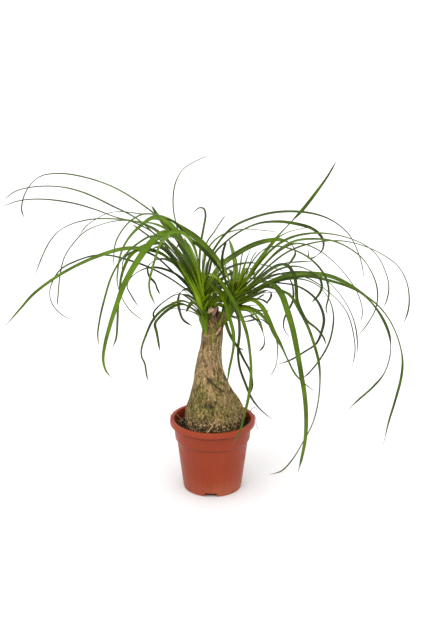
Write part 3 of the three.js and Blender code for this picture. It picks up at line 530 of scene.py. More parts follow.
# Loose fibres: a root hair on the front of the trunk, and dry bits on the soil and the rim. Each is how
# dark it is, its radius and its points.
STRANDS = [
    (0, 1, [(-7.5, -44.2, 98), (-5, -45, 103), (0, -44.4, 111), (5, -42.4, 119)]),
    (0, 0.7, [(0, -44.3, 111), (-3, -44.2, 113), (-5, -43.2, 117)]),
    (0, 0.65, [(2, -43.8, 114), (7, -43.2, 116), (10, -41.8, 120)]),
    (0.5, 0.6, [(-41, 12, 92), (-52, 15, 103), (-60.5, 17, 112)]),
    (0.9, 0.6, [(-44, -4, 93), (-53, -3, 103), (-62, 0, 110)]),
    (0.8, 0.7, [(44, 20, 92), (52, 22, 101), (59, 24, 109), (64.5, 24, 106)]),
    (0.8, 0.65, [(42, 26, 92), (47, 32, 103), (52, 36, 114), (49.5, 37, 119)]),
    (0.6, 0.65, [(50, 8, 92), (58.5, 8, 104.6), (61.3, 7, 99), (62, 6, 90), (64.5, 6, 82)]),
    (0.2, 0.5, [(-46, 14, 91.5), (-40, 24, 93), (-32, 34, 92.4)]),
    (0.6, 0.45, [(-48, -8, 91.5), (-45, -20, 93), (-38, -30, 92.6)]),
    (0.3, 0.5, [(30, -38, 92), (40, -30, 93.4), (47, -17, 92.4)]),
    (0.5, 0.45, [(20, 42, 92), (32, 37, 93.6), (43, 26, 92)]),
]

# Dry scales round the top of the trunk: how dark each is, its width and its points.
SCALES = [
    (0, 3, [(4.5, -15.3, 232.5), (8, -14.6, 238), (11.5, -13, 243.5)]),
    (0.75, 5, [(11, -11.2, 248), (13.5, -10.8, 253), (15.5, -9.6, 258), (15.5, -8, 264)]),
    (0.85, 5, [(7, -10.4, 250), (8.5, -10.2, 257), (9.5, -9, 265)]),
    (0, 4.8, [(-6.8, -12.2, 263.2), (-2.5, -12.8, 266), (1.8, -12, 268.6)]),
    (0.4, 3.5, [(0, -9.8, 258), (3, -9.8, 264), (6, -7.5, 270.5)]),
    (0.2, 2.6, [(-9, -11.5, 222), (-8, -12.4, 229), (-8.5, -12.6, 236)]),
    (0.5, 6, [(14, 6, 240), (16, 7, 249), (17, 8, 257)]),
    (0.4, 6, [(-12, 6, 230), (-13.5, 6.5, 240), (-14, 7, 249)]),
    (0.6, 7, [(0, 13, 236), (1, 12.5, 246), (2, 10, 256)]),
    (0.3, 6, [(-6, 12, 228), (-6, 12, 238), (-5, 9, 250)]),
]

# ---------------------------------------------------------------- helpers

TAGS = "tags"  # the point attribute with four numbers that materials read
LEAF_MAP = "along_leaf"  # the map that the veins follow
LEVEL = (np.array((1, 0, 0)), np.array((0, 1, 0)))  # the two directions of a level ring


def srgb(red, green, blue):
    """A screen colour, 0 to 255 a channel, as the shader takes it."""
    shares = [value / 255 for value in (red, green, blue)]
    return [s / 12.92 if s < 0.04045 else ((s + 0.055) / 1.055) ** 2.4 for s in shares] + [1]


def between(start, end, share):
    """The value that lies at a share of the way from start to end."""
    return start + (end - start) * share


def smooth_step(low, high, values):
    """From 0 at low to 1 at high, with soft ends; low may be the greater."""
    share = np.clip((values - low) / (high - low), 0, 1)
    return share * share * (3 - 2 * share)


def catmull_rom(points, shares):
    """Points at shares of a centripetal Catmull-Rom curve, each span taking the same part of it."""
    points = np.asarray(points, float)
    ends = (2 * points[0] - points[1], 2 * points[-1] - points[-2])
    padded = np.vstack((ends[0], points, ends[1]))
    spans = len(points) - 1
    at = np.minimum(np.floor(shares * spans).astype(int), spans - 1)
    s = (shares * spans - at)[:, None]
    p0, p1, p2, p3 = (padded[at + k] for k in range(4))
    d0, d1, d2 = (np.sqrt(np.linalg.norm(run, axis=1))[:, None] for run in (p1 - p0, p2 - p1, p3 - p2))
    v1 = ((p1 - p0) / d0 - (p2 - p0) / (d0 + d1) + (p2 - p1) / d1) * d1
    v2 = ((p2 - p1) / d1 - (p3 - p1) / (d1 + d2) + (p3 - p2) / d2) * d1
    bend = 3 * (p2 - p1) - 2 * v1 - v2
    turn = 2 * (p1 - p2) + v1 + v2
    return p1 + v1 * s + bend * s**2 + turn * s**3


def unit(vectors):
    """Vectors made one long."""
    return vectors / np.linalg.norm(vectors, axis=-1, keepdims=True)


def turns(sides):
    """Even steps round a circle, as angles."""
    return np.linspace(0, 2 * math.pi, sides, endpoint=False)


def band(start, end, sides):
    """Faces between two rings of points, each given by the number of its first point."""
    pairs = [(side, (side + 1) % sides) for side in range(sides)]
    return [(start + a, start + b, end + b, end + a) for a, b in pairs]


def tube_faces(rings, sides):
    """Faces of a closed tube over rings of points, capped at both ends."""
    faces = [face for ring in range(rings - 1) for face in band(ring * sides, (ring + 1) * sides, sides)]
    last = (rings - 1) * sides
    return faces + [tuple(range(sides - 1, -1, -1)), tuple(range(last, last + sides))]


def ring_points(centres, first, second, radii, sides):
    """Rings of points round centres, each along two directions; radii have a row for each ring."""
    angles = turns(sides)[:, None]
    circle = first[..., None, :] * np.cos(angles) + second[..., None, :] * np.sin(angles)
    return (centres[:, None] + circle * radii[..., None]).reshape(-1, 3)


def round_tube(centres, first, second, radii, sides):
    """The points and faces of a closed tube round centres."""
    return ring_points(centres, first, second, radii, sides), tube_faces(len(centres), sides)


def joined(parts):
    """Points, faces and tags of several parts as one; a part has tags for each point or for all."""
    points, faces, tags = [], [], []
    start = 0
    for part_points, part_faces, part_tags in parts:
        points.append(part_points)
        tags.append(np.broadcast_to(part_tags, (len(part_points), 4)))
        faces.extend(tuple(corner + start for corner in face) for face in part_faces)
        start += len(part_points)
    return np.vstack(points), faces, np.vstack(tags)


def new_mesh(name, points, faces):
    """A mesh from points in millimetres."""
    mesh = bpy.data.meshes.new(name)
    mesh.from_pydata((points * MM).tolist(), [], faces)
    mesh.update()
    return mesh


def add_piece(name, mesh, material, tags=None, node=None):
    """Shows a mesh as a piece of the object and in place of a node of the solids."""
    mesh.polygons.foreach_set("use_smooth", [True] * len(mesh.polygons))
    mesh.materials.clear()
    mesh.materials.append(material)
    if tags is not None:
        layer = mesh.attributes.new(TAGS, "FLOAT_COLOR", "POINT")
        layer.data.foreach_set("color", np.ascontiguousarray(tags, np.float32).ravel())
    piece = bpy.data.objects.new(name, mesh)
    bpy.context.scene.collection.objects.link(piece)
    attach(piece, "root")
    if node:
        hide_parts(node)
    return piece


def vertex_values(mesh, kind):
    """The places or the normals of a mesh's points."""
    values = np.empty(len(mesh.vertices) * 3)
    mesh.vertices.foreach_get(kind, values)
    return values.reshape(-1, 3)


def evaluated(mesh, *modifiers):
    """The mesh after some modifiers, each given as its type and its settings."""
    maker = bpy.data.objects.new("maker", mesh)
    bpy.context.scene.collection.objects.link(maker)
    for kind, settings in modifiers:
        modifier = maker.modifiers.new(kind.lower(), kind)
        for setting, value in settings.items():
            setattr(modifier, setting, value)
    graph = bpy.context.evaluated_depsgraph_get()
    result = bpy.data.meshes.new_from_object(maker.evaluated_get(graph))
    bpy.data.objects.remove(maker)
    return result


class Shader:
    """A material made of nodes, with a short call for each kind of node.

    Colours are given as screen colours, 0 to 255 a channel, or come from other nodes. The scales of
    noises and the depths of bumps are in the scene's metres.
    """

    def __init__(self, name, roughness, specular):
        self.material = bpy.data.materials.new(name)
        self.material.use_nodes = True
        self.tree = self.material.node_tree
        self.surface = self.tree.nodes["Principled BSDF"]
        self.surface.inputs["Roughness"].default_value = roughness
        self.surface.inputs["Specular IOR Level"].default_value = specular
        self.place = self.node("ShaderNodeTexCoord").outputs["Object"]
        self.base = None  # the colour so far

    def node(self, kind, inputs=(), **settings):
        node = self.tree.nodes.new(kind)
        for setting, value in settings.items():
            setattr(node, setting, value)
        for socket, value in dict(inputs).items():
            if isinstance(value, bpy.types.NodeSocket):
                self.tree.links.new(value, node.inputs[socket])
            else:
                node.inputs[socket].default_value = value
        return node

    def tags(self):
        """The four tags of a point."""
        colour = self.node("ShaderNodeAttribute", attribute_name=TAGS)
        parts = self.node("ShaderNodeSeparateColor", {"Color": colour.outputs["Color"]})
        return [*parts.outputs, colour.outputs["Alpha"]]

    def height(self):
        """Height above the floor, in millimetres."""
        parts = self.node("ShaderNodeSeparateXYZ", {0: self.place})
        return self.maths("DIVIDE", parts.outputs["Z"], MM)

    def stretched(self, scale, vector=None):
        inputs = {"Vector": vector or self.place, "Scale": scale}
        return self.node("ShaderNodeMapping", inputs).outputs["Vector"]

    def noise(self, scale, detail, vector=None, distortion=0):
        inputs = {"Vector": vector or self.place, "Scale": scale, "Detail": detail, "Distortion": distortion}
        return self.node("ShaderNodeTexNoise", inputs).outputs["Fac"]

    def ramp(self, value, stops):
        """Colours along a value, from stops of place and colour."""
        node = self.node("ShaderNodeValToRGB", {"Fac": value})
        elements = node.color_ramp.elements
        while len(elements) < len(stops):
            elements.new(0.5)
        for element, (place, colour) in zip(elements, stops.items()):
            element.position = place
            element.color = srgb(*colour)
        return node.outputs["Color"]

    def span(self, value, low, high, to_low=0, to_high=1):
        """A smooth step from one number to another, as value goes from low to high."""
        inputs = {"Value": value, "From Min": low, "From Max": high, "To Min": to_low, "To Max": to_high}
        return self.node("ShaderNodeMapRange", inputs, interpolation_type="SMOOTHSTEP").outputs["Result"]

    def maths(self, operation, first, second):
        return self.node("ShaderNodeMath", {0: first, 1: second}, operation=operation).outputs[0]

    def mix(self, share, first, second):
        colours = [srgb(*colour) if isinstance(colour, tuple) else colour for colour in (first, second)]
        inputs = {0: share, 6: colours[0], 7: colours[1]}
        return self.node("ShaderNodeMix", inputs, data_type="RGBA").outputs[2]

    def cover(self, share, colour):
        """Lays a colour over the colour so far."""
        self.base = self.mix(share, self.base, colour)

    def roughness(self, value):
        self.tree.links.new(value, self.surface.inputs["Roughness"])

    def bump(self, height, depth, strength):
        inputs = {"Height": height, "Distance": depth, "Strength": strength}
        normal = self.node("ShaderNodeBump", inputs).outputs["Normal"]
        self.tree.links.new(normal, self.surface.inputs["Normal"])

    def finished(self):
        self.tree.links.new(self.base, self.surface.inputs["Base Color"])
        return self.material


# ---------------------------------------------------------------- materials


def make_leaf_material():
    """Green with veins along it, yellower at the root and dry at the tip.

    Tags: share of the length, share of the half width, tone, and distance from the root in metres.
    """
    shader = Shader("leaf_blade", roughness=0.45, specular=0.12)
    along, across, tone, reach = shader.tags()
    lines = shader.node("ShaderNodeUVMap", uv_map=LEAF_MAP).outputs["UV"]
    veins = shader.noise(1, 2, shader.stretched((2400, 12, 1), lines))
    streaks = shader.noise(1, 2, shader.stretched((620, 9, 1), lines))
    mottle = shader.noise(38, 3)
    shade = shader.maths("ADD", tone, shader.span(mottle, 0.3, 0.7, -0.12, 0.12))
    shade = shader.maths("ADD", shade, shader.span(along, 0.5, 0.9, 0, -0.08))
    shader.base = shader.ramp(shade, {
        0: (24, 32, 4),
        0.2: (48, 63, 8),
        0.45: (84, 109, 17),
        0.7: (103, 138, 24),
        1: (128, 164, 38),
    })
    shader.cover(shader.span(veins, 0.35, 0.65, 0.3, 0), (30, 48, 4))
    shader.cover(shader.span(streaks, 0.52, 0.72, 0, 0.3), (116, 148, 46))
    shader.cover(shader.span(across, 0, 0.22, 0.22, 0), (112, 146, 34))
    lightness = shader.span(tone, 0.1, 0.6, 0.3, 1)
    root = shader.maths("MULTIPLY", shader.span(reach, 0.02, 0.08, 0.65, 0), lightness)
    shader.cover(root, (138, 164, 10))
    uneven = shader.span(mottle, 0.35, 0.6, 0.3, 0.9)
    shader.cover(shader.maths("MULTIPLY", shader.span(along, 0.93, 0.985), uneven), (112, 94, 60))
    shader.roughness(shader.span(streaks, 0.3, 0.7, 0.38, 0.52))
    shader.bump(veins, 0.00012, 0.6)
    return shader.finished()


def make_dry_material():
    """Dried leaf bases, flakes and root hairs. Tags: how dark each is."""
    shader = Shader("dry_leaf", roughness=0.8, specular=0.2)
    dark = shader.tags()[0]
    fine = shader.noise(420, 4)
    broad = shader.noise(60, 2)
    shader.base = shader.ramp(fine, {0.3: (146, 108, 76), 0.5: (200, 160, 122), 0.75: (224, 194, 158)})
    shader.cover(shader.span(broad, 0.45, 0.7, 0, 0.4), (94, 62, 46))
    shader.cover(dark, (62, 36, 24))
    shader.bump(fine, 0.0003, 0.7)
    return shader.finished()


def make_bark_material():
    """Cork under soil, husks, moss, stains and cuts. Tags: relief, moss, stains together with painted shade,
    and pale or cut.
    """
    shader = Shader("bark", roughness=0.85, specular=0.15)
    relief, growth, stain_and_shade, pale = shader.tags()
    height = shader.height()
    fibres = shader.noise(1, 4, shader.stretched((380, 380, 110)), 0.8)
    flecks = shader.noise(1, 3, shader.stretched((560, 560, 210)), 0.9)
    clouds = shader.noise(34, 3)
    specks = shader.noise(520, 2)
    cover_with_cork(shader, height, fibres, clouds)
    cover_with_flecks(shader, flecks, relief)
    cover_with_soil(shader, height, specks)
    cover_with_husks(shader, height, flecks, clouds)
    moss = shader.ramp(growth, {0: (62, 70, 22), 0.45: (86, 96, 26), 1: (142, 144, 30)})
    shader.cover(shader.maths("MULTIPLY", growth, shader.span(flecks, 0.4, 0.56, 0.2, 1)), moss)
    # Dark stains, and painted shade in the crack and under the stub's cut.
    shader.cover(stain_and_shade, (32, 34, 18))
    shader.cover(pale, (196, 156, 122))
    shader.bump(shader.maths("ADD", fibres, shader.maths("MULTIPLY", specks, 0.6)), 0.0011, 0.6)
    return shader.finished()


def cover_with_cork(shader, height, fibres, clouds):
    """Tan cork, olive on the swollen base and pinkish in clouds on the neck."""
    shader.base = shader.ramp(fibres, {
        0.3: (84, 66, 40),
        0.44: (132, 109, 69),
        0.56: (165, 140, 94),
        0.7: (202, 178, 133),
    })
    olive = shader.ramp(fibres, {
        0.3: (44, 39, 14),
        0.45: (94, 82, 38),
        0.58: (128, 110, 56),
        0.72: (176, 154, 98),
    })
    low = shader.span(height, *OLIVE_BELOW)
    shader.cover(shader.maths("MULTIPLY", low, shader.span(clouds, 0.3, 0.6, 0.6, 1)), olive)
    cloudy = shader.span(clouds, 0.42, 0.6, 0.15, 0.75)
    shader.cover(shader.maths("MULTIPLY", shader.span(height, *PINK_ABOVE), cloudy), (126, 98, 76))


def cover_with_flecks(shader, flecks, relief):
    """Darker and paler patches and flecks, and painted shade in the hollows."""
    patches = shader.noise(1, 3, shader.stretched((120, 120, 64)), 1)
    shader.cover(shader.span(patches, 0.5, 0.66, 0, 0.5), (72, 60, 30))
    shader.cover(shader.span(patches, 0.44, 0.34, 0, 0.3), (188, 164, 112))
    shader.cover(shader.span(flecks, 0.56, 0.66, 0, 0.62), (54, 42, 22))
    shader.cover(shader.span(flecks, 0.42, 0.34, 0, 0.45), (206, 184, 140))
    # Painted shade: darker where the relief is low.
    shader.cover(shader.span(relief, 0.44, 0.28, 0, 0.7), (48, 38, 20))


def cover_with_soil(shader, height, specks):
    """Grains of soil that cling to the foot of the trunk."""
    buried = shader.span(height, *SOILED_BELOW)
    grains = shader.ramp(shader.noise(380, 2), {
        0.34: (28, 19, 11),
        0.46: (78, 58, 35),
        0.54: (120, 95, 60),
        0.62: (196, 172, 130),
    })
    shader.cover(shader.maths("MULTIPLY", buried, 0.88), grains)
    shader.cover(shader.maths("MULTIPLY", buried, shader.span(specks, 0.56, 0.62)), (30, 21, 12))


def cover_with_husks(shader, height, flecks, clouds):
    """The dark, ragged husks of old leaf bases at the top."""
    ragged = shader.span(clouds, 0.35, 0.6, 0.95, 0.6)
    husks = shader.ramp(flecks, {0.38: (144, 114, 70), 0.46: (86, 58, 36), 0.57: (34, 22, 14)})
    shader.cover(shader.maths("MULTIPLY", shader.span(height, *HUSKS_ABOVE), ragged), husks)


def make_soil_material():
    """Dark soil. Tags: shade, from dark to pale."""
    shader = Shader("potting_soil", roughness=0.92, specular=0.2)
    shade = shader.tags()[0]
    fine = shader.noise(900, 3)
    mixed = shader.maths("ADD", shade, shader.span(fine, 0.3, 0.7, -0.12, 0.12))
    shader.base = shader.ramp(mixed, {
        0: (26, 19, 14),
        0.45: (52, 38, 26),
        0.8: (86, 64, 42),
        0.93: (120, 96, 66),
        1: (196, 178, 146),
    })
    shader.bump(fine, 0.0006, 0.8)
    return shader.finished()


def painted_shade_line(shader, height, start, full, fading, end, strength):
    """How dark a line of painted shade round the pot is, between heights."""
    rising = shader.span(height, start, full, 0, strength)
    return shader.maths("MULTIPLY", rising, shader.span(height, end, fading))


def make_pot_material():
    """Matt terracotta plastic, dusty at its foot, with painted shade below its lip and its step."""
    shader = Shader("terracotta_plastic", roughness=0.42, specular=0.2)
    height = shader.height()
    clouds = shader.noise(16, 3)
    flow = shader.noise(1, 3, shader.stretched((150, 150, 7)))
    scuffs = shader.noise(1, 4, shader.stretched((90, 90, 700)), 1.5)
    shader.base = shader.mix(shader.span(clouds, 0.3, 0.7), (137, 51, 24), (147, 57, 27))
    shader.cover(shader.span(flow, 0.45, 0.75, 0, 0.22), (126, 44, 25))
    dust = shader.maths("MULTIPLY", shader.span(height, 30, 0), shader.span(clouds, 0.4, 0.65, 0.1, 0.4))
    shader.cover(dust, (176, 110, 82))
    shader.cover(shader.span(scuffs, 0.68, 0.78, 0, 0.3), (206, 124, 98))
    shader.cover(shader.span(height, LIP_FOOT, LIP_FOOT + 0.7, 0, 0.4), (146, 56, 28))
    # Painted shade: a dark line just under the lip, and another below the collar's step.
    shade_under_lip = painted_shade_line(shader, height, LIP_FOOT - 5.3, LIP_FOOT - 2, LIP_FOOT, LIP_FOOT + 0.7, 0.5)
    step_shade_heights = (COLLAR_FOOT - 3.6, COLLAR_FOOT - 2.8, COLLAR_FOOT - 0.4, COLLAR_FOOT + 0.4)
    painted_shade_ledge = painted_shade_line(shader, height, *step_shade_heights, 0.36)
    shader.cover(shader.maths("ADD", shade_under_lip, painted_shade_ledge), (70, 24, 8))
    shader.roughness(shader.span(shader.noise(70, 3), 0.3, 0.7, 0.34, 0.5))
    shader.bump(shader.noise(1500, 2), 0.0001, 0.5)
    return shader.finished()


# ---------------------------------------------------------------- crowns


def leaf_points(front, route, core):
    """The points in space that a leaf's middle line runs through, from the core's axis to the tip."""
    foot, head = (np.array(end, float) for end in core[:2])
    share = (route[0][1] - foot[2]) / (head[2] - foot[2])
    root = between(foot, head, np.clip(share, *ROOT_REACH))
    drawn = np.array(route, float)
    lengths = np.cumsum(np.linalg.norm(np.diff(drawn, axis=0), axis=1))
    depth = -root[1] + (front + root[1]) * (lengths / lengths[-1]) ** DEPTH_CURVE
    plane = np.column_stack((drawn[1:, 0], np.zeros(len(lengths)), drawn[1:, 1]))
    placed = SIGHT_POINT + (plane - SIGHT_POINT) * (1 + depth / SIGHT_POINT[1])[:, None]
    return np.vstack((root, placed)), lengths[-1]


def blade_width(width, shares):
    """Widths along a leaf: full above its root, then tapering to its tip and its point."""
    tip = min(TIP_WIDTH, WIDEST_TIP * width)
    base = between(1, ROOT_WIDTH, np.maximum(0, 1 - shares / FULL_WIDTH_AT))
    rest = np.clip((shares - FULL_WIDTH_AT) / (1 - FULL_WIDTH_AT), 0, 1)
    point = between(1, POINT_WIDTH, smooth_step(POINTED_FROM, 1, shares))
    return between(width, tip, rest**TAPER_CURVE) * base * point


def carried_along(tangents, start):
    """A direction square to a curve, carried along it without turning about it."""
    carried = start
    across = np.empty_like(tangents)
    for station, tangent in enumerate(tangents):
        carried = unit(carried - tangent * carried.dot(tangent))
        across[station] = carried
    return across


def strap(centres, across, turn, widths, folds, tone):
    """A closed leaf blade along its middle line: a channel, folded up along its midrib.

    across points to one margin at the root, and turn is how far the blade has turned about its line.
    """
    tangents = unit(np.gradient(centres, axis=0))
    start = carried_along(tangents, across)
    turn = turn[:, None]
    side = start * np.cos(turn) + np.cross(tangents, start) * np.sin(turn)
    above = np.cross(tangents, side)
    widths = widths[:, None]
    rise = widths * folds[:, None]
    thickness = np.minimum(BLADE_THICKNESS, widths * THICKEST)
    ring = [centres + side * widths * u / 2 + above * rise * abs(u) ** FOLD_CURVE for u in SECTION]
    for u in reversed(SECTION):
        depth = thickness * between(1, MARGIN_THICKNESS, abs(u))
        ring.append(ring[SECTION.index(u)] - above * depth)
    steps = np.linalg.norm(np.diff(centres, axis=0), axis=1)
    tags = np.empty((len(centres), len(ring), 4))
    tags[..., 0] = np.linspace(0, 1, len(centres))[:, None]
    tags[..., 1] = np.abs(np.array(SECTION + SECTION[::-1]))
    tags[..., 2] = tone
    tags[..., 3] = np.concatenate(([0], np.cumsum(steps)))[:, None] * MM
    points = np.stack(ring, axis=1).reshape(-1, 3)
    return points, tube_faces(len(centres), len(ring)), tags.reshape(-1, 4)


def drawn_leaf(front, width, tilt, tone, route, core, twists, chance):
    """One leaf of a table, on its route."""
    points, length = leaf_points(front, route, core)
    shares = np.linspace(0, 1, max(FEWEST_STATIONS, round(length / STATION_STEP)) + 1)
    centres = catmull_rom(points, shares)
    reach = centres[len(shares) // 2] - centres[0]
    sway = SWAY * np.sin(2 * math.pi * (shares * chance.uniform(*SWAYS) + chance.random()))
    tilts = tilt * np.minimum(1, shares / TILTED_AT)
    for start, end, angle in twists:
        tilts += angle * smooth_step(start, end, shares)
    turn = np.radians(np.sign(reach[0]) * tilts + sway * shares)
    folds = between(ROOT_FOLD, FOLD, smooth_step(0, OPENED_AT, shares))
    across = np.array((-reach[1], reach[0], 0))
    return strap(centres, across, turn, blade_width(width, shares), folds, tone)


def inner_width(shares):
    """Widths along an inner leaf."""
    root, broad, slim = INNER_WIDTHS
    widening = between(root, broad, smooth_step(0, INNER_BROAD_AT, shares))
    slimming = (broad - slim) * smooth_step(INNER_BROAD_AT, INNER_SLIM_AT, shares)
    return (widening - slimming) * between(1, INNER_TIP, smooth_step(INNER_SLIM_AT, 1, shares))


def inner_leaf(core, order, chance):
    """A short leaf of a crown's heart, with a broad base that clasps the core; the outer ones come first."""
    foot, head = (np.array(end, float) for end in core[:2])
    inward = order / (INNER_LEAVES - 1)
    axis = unit(head - foot)
    azimuth = order * GOLDEN_ANGLE + chance.uniform(*INNER_AZIMUTHS)
    outward = np.array((math.cos(azimuth), math.sin(azimuth), 0))
    outward = unit(outward - axis * outward.dot(axis))
    length = chance.uniform(*INNER_LENGTHS) * between(*INNER_SHORTENINGS, inward)
    lean = math.radians(between(*INNER_LEANS, inward) + chance.uniform(*INNER_LEAN_SLIPS))
    root = between(foot, head, between(*INNER_ROOTS, inward))
    root += outward * core[2] * between(*INNER_REACHES, inward)
    shares = np.linspace(0, 1, round(length / STATION_STEP))
    leans = (lean * between(0.1, 1, smooth_step(0, 0.45, shares)))[:, None]
    heading = axis * np.cos(leans) + outward * np.sin(leans)
    heading[:, 2] -= chance.uniform(*INNER_DROOPS) * shares**2 * math.sin(lean)
    centres = root + np.cumsum(unit(heading) * length / len(shares), axis=0)
    widths = inner_width(shares) * chance.uniform(*INNER_BREADTHS)
    folds = between(*INNER_FOLDS, smooth_step(0.1, 0.5, shares))
    turn = math.radians(chance.uniform(*INNER_TURNS)) * shares
    tone = between(*INNER_TONES, inward) + chance.uniform(*INNER_TONE_SLIPS)
    return strap(centres, np.cross(axis, outward), turn, widths, folds, tone)


def clasping_base(points, width, tone):
    """A leaf base that runs up from the bark: narrow at its foot, broad above it, then a leaf's width."""
    shares = np.linspace(0, 1, BASE_STATIONS)
    centres = catmull_rom(points, shares)
    widening = between(BASE_FOOT, 1, smooth_step(0, 0.4, shares))
    narrowing = between(1, BASE_HEAD, smooth_step(0.55, 1, shares))
    widths = width * widening * narrowing
    level = np.zeros(BASE_STATIONS)
    points, faces, tags = strap(centres, np.array((1, 0, 0)), level, widths, level + BASE_FOLD, tone)
    tags[:, 3] += BASE_GREEN * (1 - tone)
    return points, faces, tags


def leaf_map(mesh, tags):
    """A map of each leaf: across it and along it, in metres."""
    corners = np.empty(len(mesh.loops), np.int32)
    mesh.loops.foreach_get("vertex_index", corners)
    flat = np.column_stack((tags[corners, 1] * MAP_HALF_WIDTH * MM, tags[corners, 3]))
    layer = mesh.uv_layers.new(name=LEAF_MAP)
    layer.uv.foreach_set("vector", flat.astype(np.float32).ravel())


def core_stem(core):
    """The growing core of a crown, rounded in where it leaves the trunk; its tags are a leaf's."""
    foot, head, foot_radius, head_radius = core
    shares = np.linspace(0, 1, CORE_RINGS)
    centres = np.outer(1 - shares, foot) + np.outer(shares, head)
    radii = between(foot_radius, head_radius, shares) * np.sqrt(smooth_step(*CORE_ROUNDING, shares))
    along, across, tone, reach = 0.1, 0.5, 0.3, 0.03
    return *round_tube(centres, *LEVEL, radii[:, None], CORE_SIDES), (along, across, tone, reach)


def make_crown(side, leaves, core, twists, bases, material, seed):
    """All leaves of one crown as a piece."""
    chance = random.Random(seed)
    parts = [drawn_leaf(*leaf, core, twists.get(i, ()), chance) for i, leaf in enumerate(leaves)]
    parts += [inner_leaf(core, order, chance) for order in range(INNER_LEAVES)]
    parts += [clasping_base(*base) for base in bases]
    parts.append(core_stem(core))
    points, faces, tags = joined(parts)
    mesh = new_mesh("leaves", points, faces)
    leaf_map(mesh, tags)
    add_piece("Leaves_" + side, mesh, material, tags, "Crown_" + side)


# ---------------------------------------------------------------- trunk


def trunk_body():
    """The swollen body, its lobes and its buried end."""
    shares = np.linspace(0, 1, TRUNK_RINGS)
    sections = catmull_rom([(x, radius, height) for height, x, radius in TRUNK_SECTIONS], shares)
    lobes = 1 + sum(size * np.sin(n * turns(TRUNK_SIDES) + phase) for n, size, phase in TRUNK_LOBES)
    centres = sections * (1, 0, 1)
    return round_tube(centres, *LEVEL, sections[:, 1, None] * lobes, TRUNK_SIDES)


def branch(foot, head, foot_radius, head_radius):
    """A short round branch of the trunk."""
    foot, head = np.array(foot, float), np.array(head, float)
    along = unit(head - foot)
    first = unit(np.cross(along, (0, 1, 0)))
    shares = np.linspace(0, 1, BRANCH_RINGS)[:, None]
    radii = between(foot_radius, head_radius, shares)
    return round_tube(between(foot, head, shares), first, np.cross(along, first), radii, BRANCH_SIDES)


def marked(points, marks):
    """How strongly each point of the front is marked; marks that overlap add up."""
    total = np.zeros(len(points))
    for x, z, width, height, strength in marks:
        spread = ((points[:, 0] - x) / width) ** 2 + ((points[:, 2] - z) / height) ** 2
        total += strength * np.exp(-spread)
    return total * (points[:, 1] < 0)


def near_path(points, path):
    """1 on a path across the front through places (x, z, half width), fading to 0 beside it."""
    flat = points[:, [0, 2]]
    path = np.array(path, float)
    nearest = np.zeros(len(points))
    for start, end in zip(path[:-1], path[1:]):
        run = (end - start)[:2]
        share = np.clip((flat - start[:2]).dot(run) / run.dot(run), 0, 1)
        gap = np.linalg.norm(flat - start[:2] - share[:, None] * run, axis=1)
        half_width = between(start[2], end[2], share)
        nearest = np.maximum(nearest, np.exp(-((gap / half_width) ** 2)))
    return nearest * (points[:, 1] < 0)


def rough(points, scale, stretch=1, shift=0):
    """Noise at points, at scale cells a millimetre and drawn out in height; a shift gives another noise."""
    cells = (points + shift) * (scale, scale, scale / stretch)
    return np.array([noise.noise(Vector(cell)) for cell in cells])


def cut_stub(points):
    """Points with the stub's cut side flattened, and how much each is on the cut and on the ledge, whose dark
    is a painted shadow.
    """
    facing = unit(np.array(CUT_FACING))
    x, y, height = points.T
    beyond = (points - CUT_PLACE).dot(facing)
    near = (np.hypot(x - CUT_AXIS[0], y - CUT_AXIS[1]) < CUT_REACH) * (x < CUT_RIGHT_END)
    stub = smooth_step(*CUT_ABOVE, height) * near
    flattened = points - facing * (np.maximum(beyond, 0) * stub)[:, None]
    cut = stub * smooth_step(-CUT_EDGE, 0, beyond)
    painted_shade_ledge = stub * np.exp(-(((beyond + LEDGE_BELOW) / LEDGE_HALF_WIDTH) ** 2))
    return flattened, cut, painted_shade_ledge


def bark_forms(points):
    """The fine relief of the bark at each point, its broad swells, and how much a point is in the crack."""
    height = points[:, 2]
    low = smooth_step(*GRAINY_BELOW, height)
    neck = smooth_step(*RINGED_ABOVE, height)
    fissures = 1 - 2 * np.abs(rough(points, 0.2, 4.5))
    wrinkles = rough(points, 0.55, 2.2, 50)
    grains = rough(points, 0.75, shift=90)
    rings = np.sin(2 * math.pi * (height / NECK_RING_STEP + NECK_RING_WAVER * rough(points, 0.12)))
    fine = FISSURES * (fissures - 0.55) * between(1, 0.5, low) + WRINKLES * wrinkles
    fine += between(*GRAINS, low) * grains + NECK_RINGS * neck * rings
    swells = SWELLS * rough(points, 0.045, 1.6, 20)
    crack = near_path(points, CRACK) * (0.6 + 0.8 * np.abs(wrinkles))
    return fine, swells, crack


def make_trunk(material):
    """The trunk as one skin over its body and branches, with its bark pressed in."""
    bodies = [trunk_body(), *(branch(*each) for each in BRANCHES)]
    points, faces, _ = joined([(*body, 0) for body in bodies])
    mesh = evaluated(
        new_mesh("trunk", points, faces),
        ("REMESH", {"mode": "VOXEL", "voxel_size": BARK_GRAIN * MM}),
        ("SMOOTH", {"factor": 0.5, "iterations": 8}),
    )
    points, cut, painted_shade_ledge = cut_stub(vertex_values(mesh, "co") / MM)
    fine, swells, crack = bark_forms(points)
    relief = (fine + swells - CRACK_DEPTH * crack - LEDGE_DEPTH * painted_shade_ledge) * (1 - cut)
    points = points + vertex_values(mesh, "normal") * (relief - SET_IN)[:, None]
    mesh.vertices.foreach_set("co", (points * MM).ravel())
    mesh.update()
    # Stains from the table, plus painted shade in the crack and on the ledge.
    stain_and_shade = marked(points, STAINS) + CRACK_PAINTED_SHADE * crack + LEDGE_PAINTED_SHADE * painted_shade_ledge
    pale = marked(points, PALES) + cut
    tags = np.column_stack((0.5 + relief - swells, marked(points, GROWTHS), stain_and_shade, pale)).clip(0, 1)
    add_piece("Trunk_Bark", mesh, material, tags, "Trunk")


# ---------------------------------------------------------------- pot


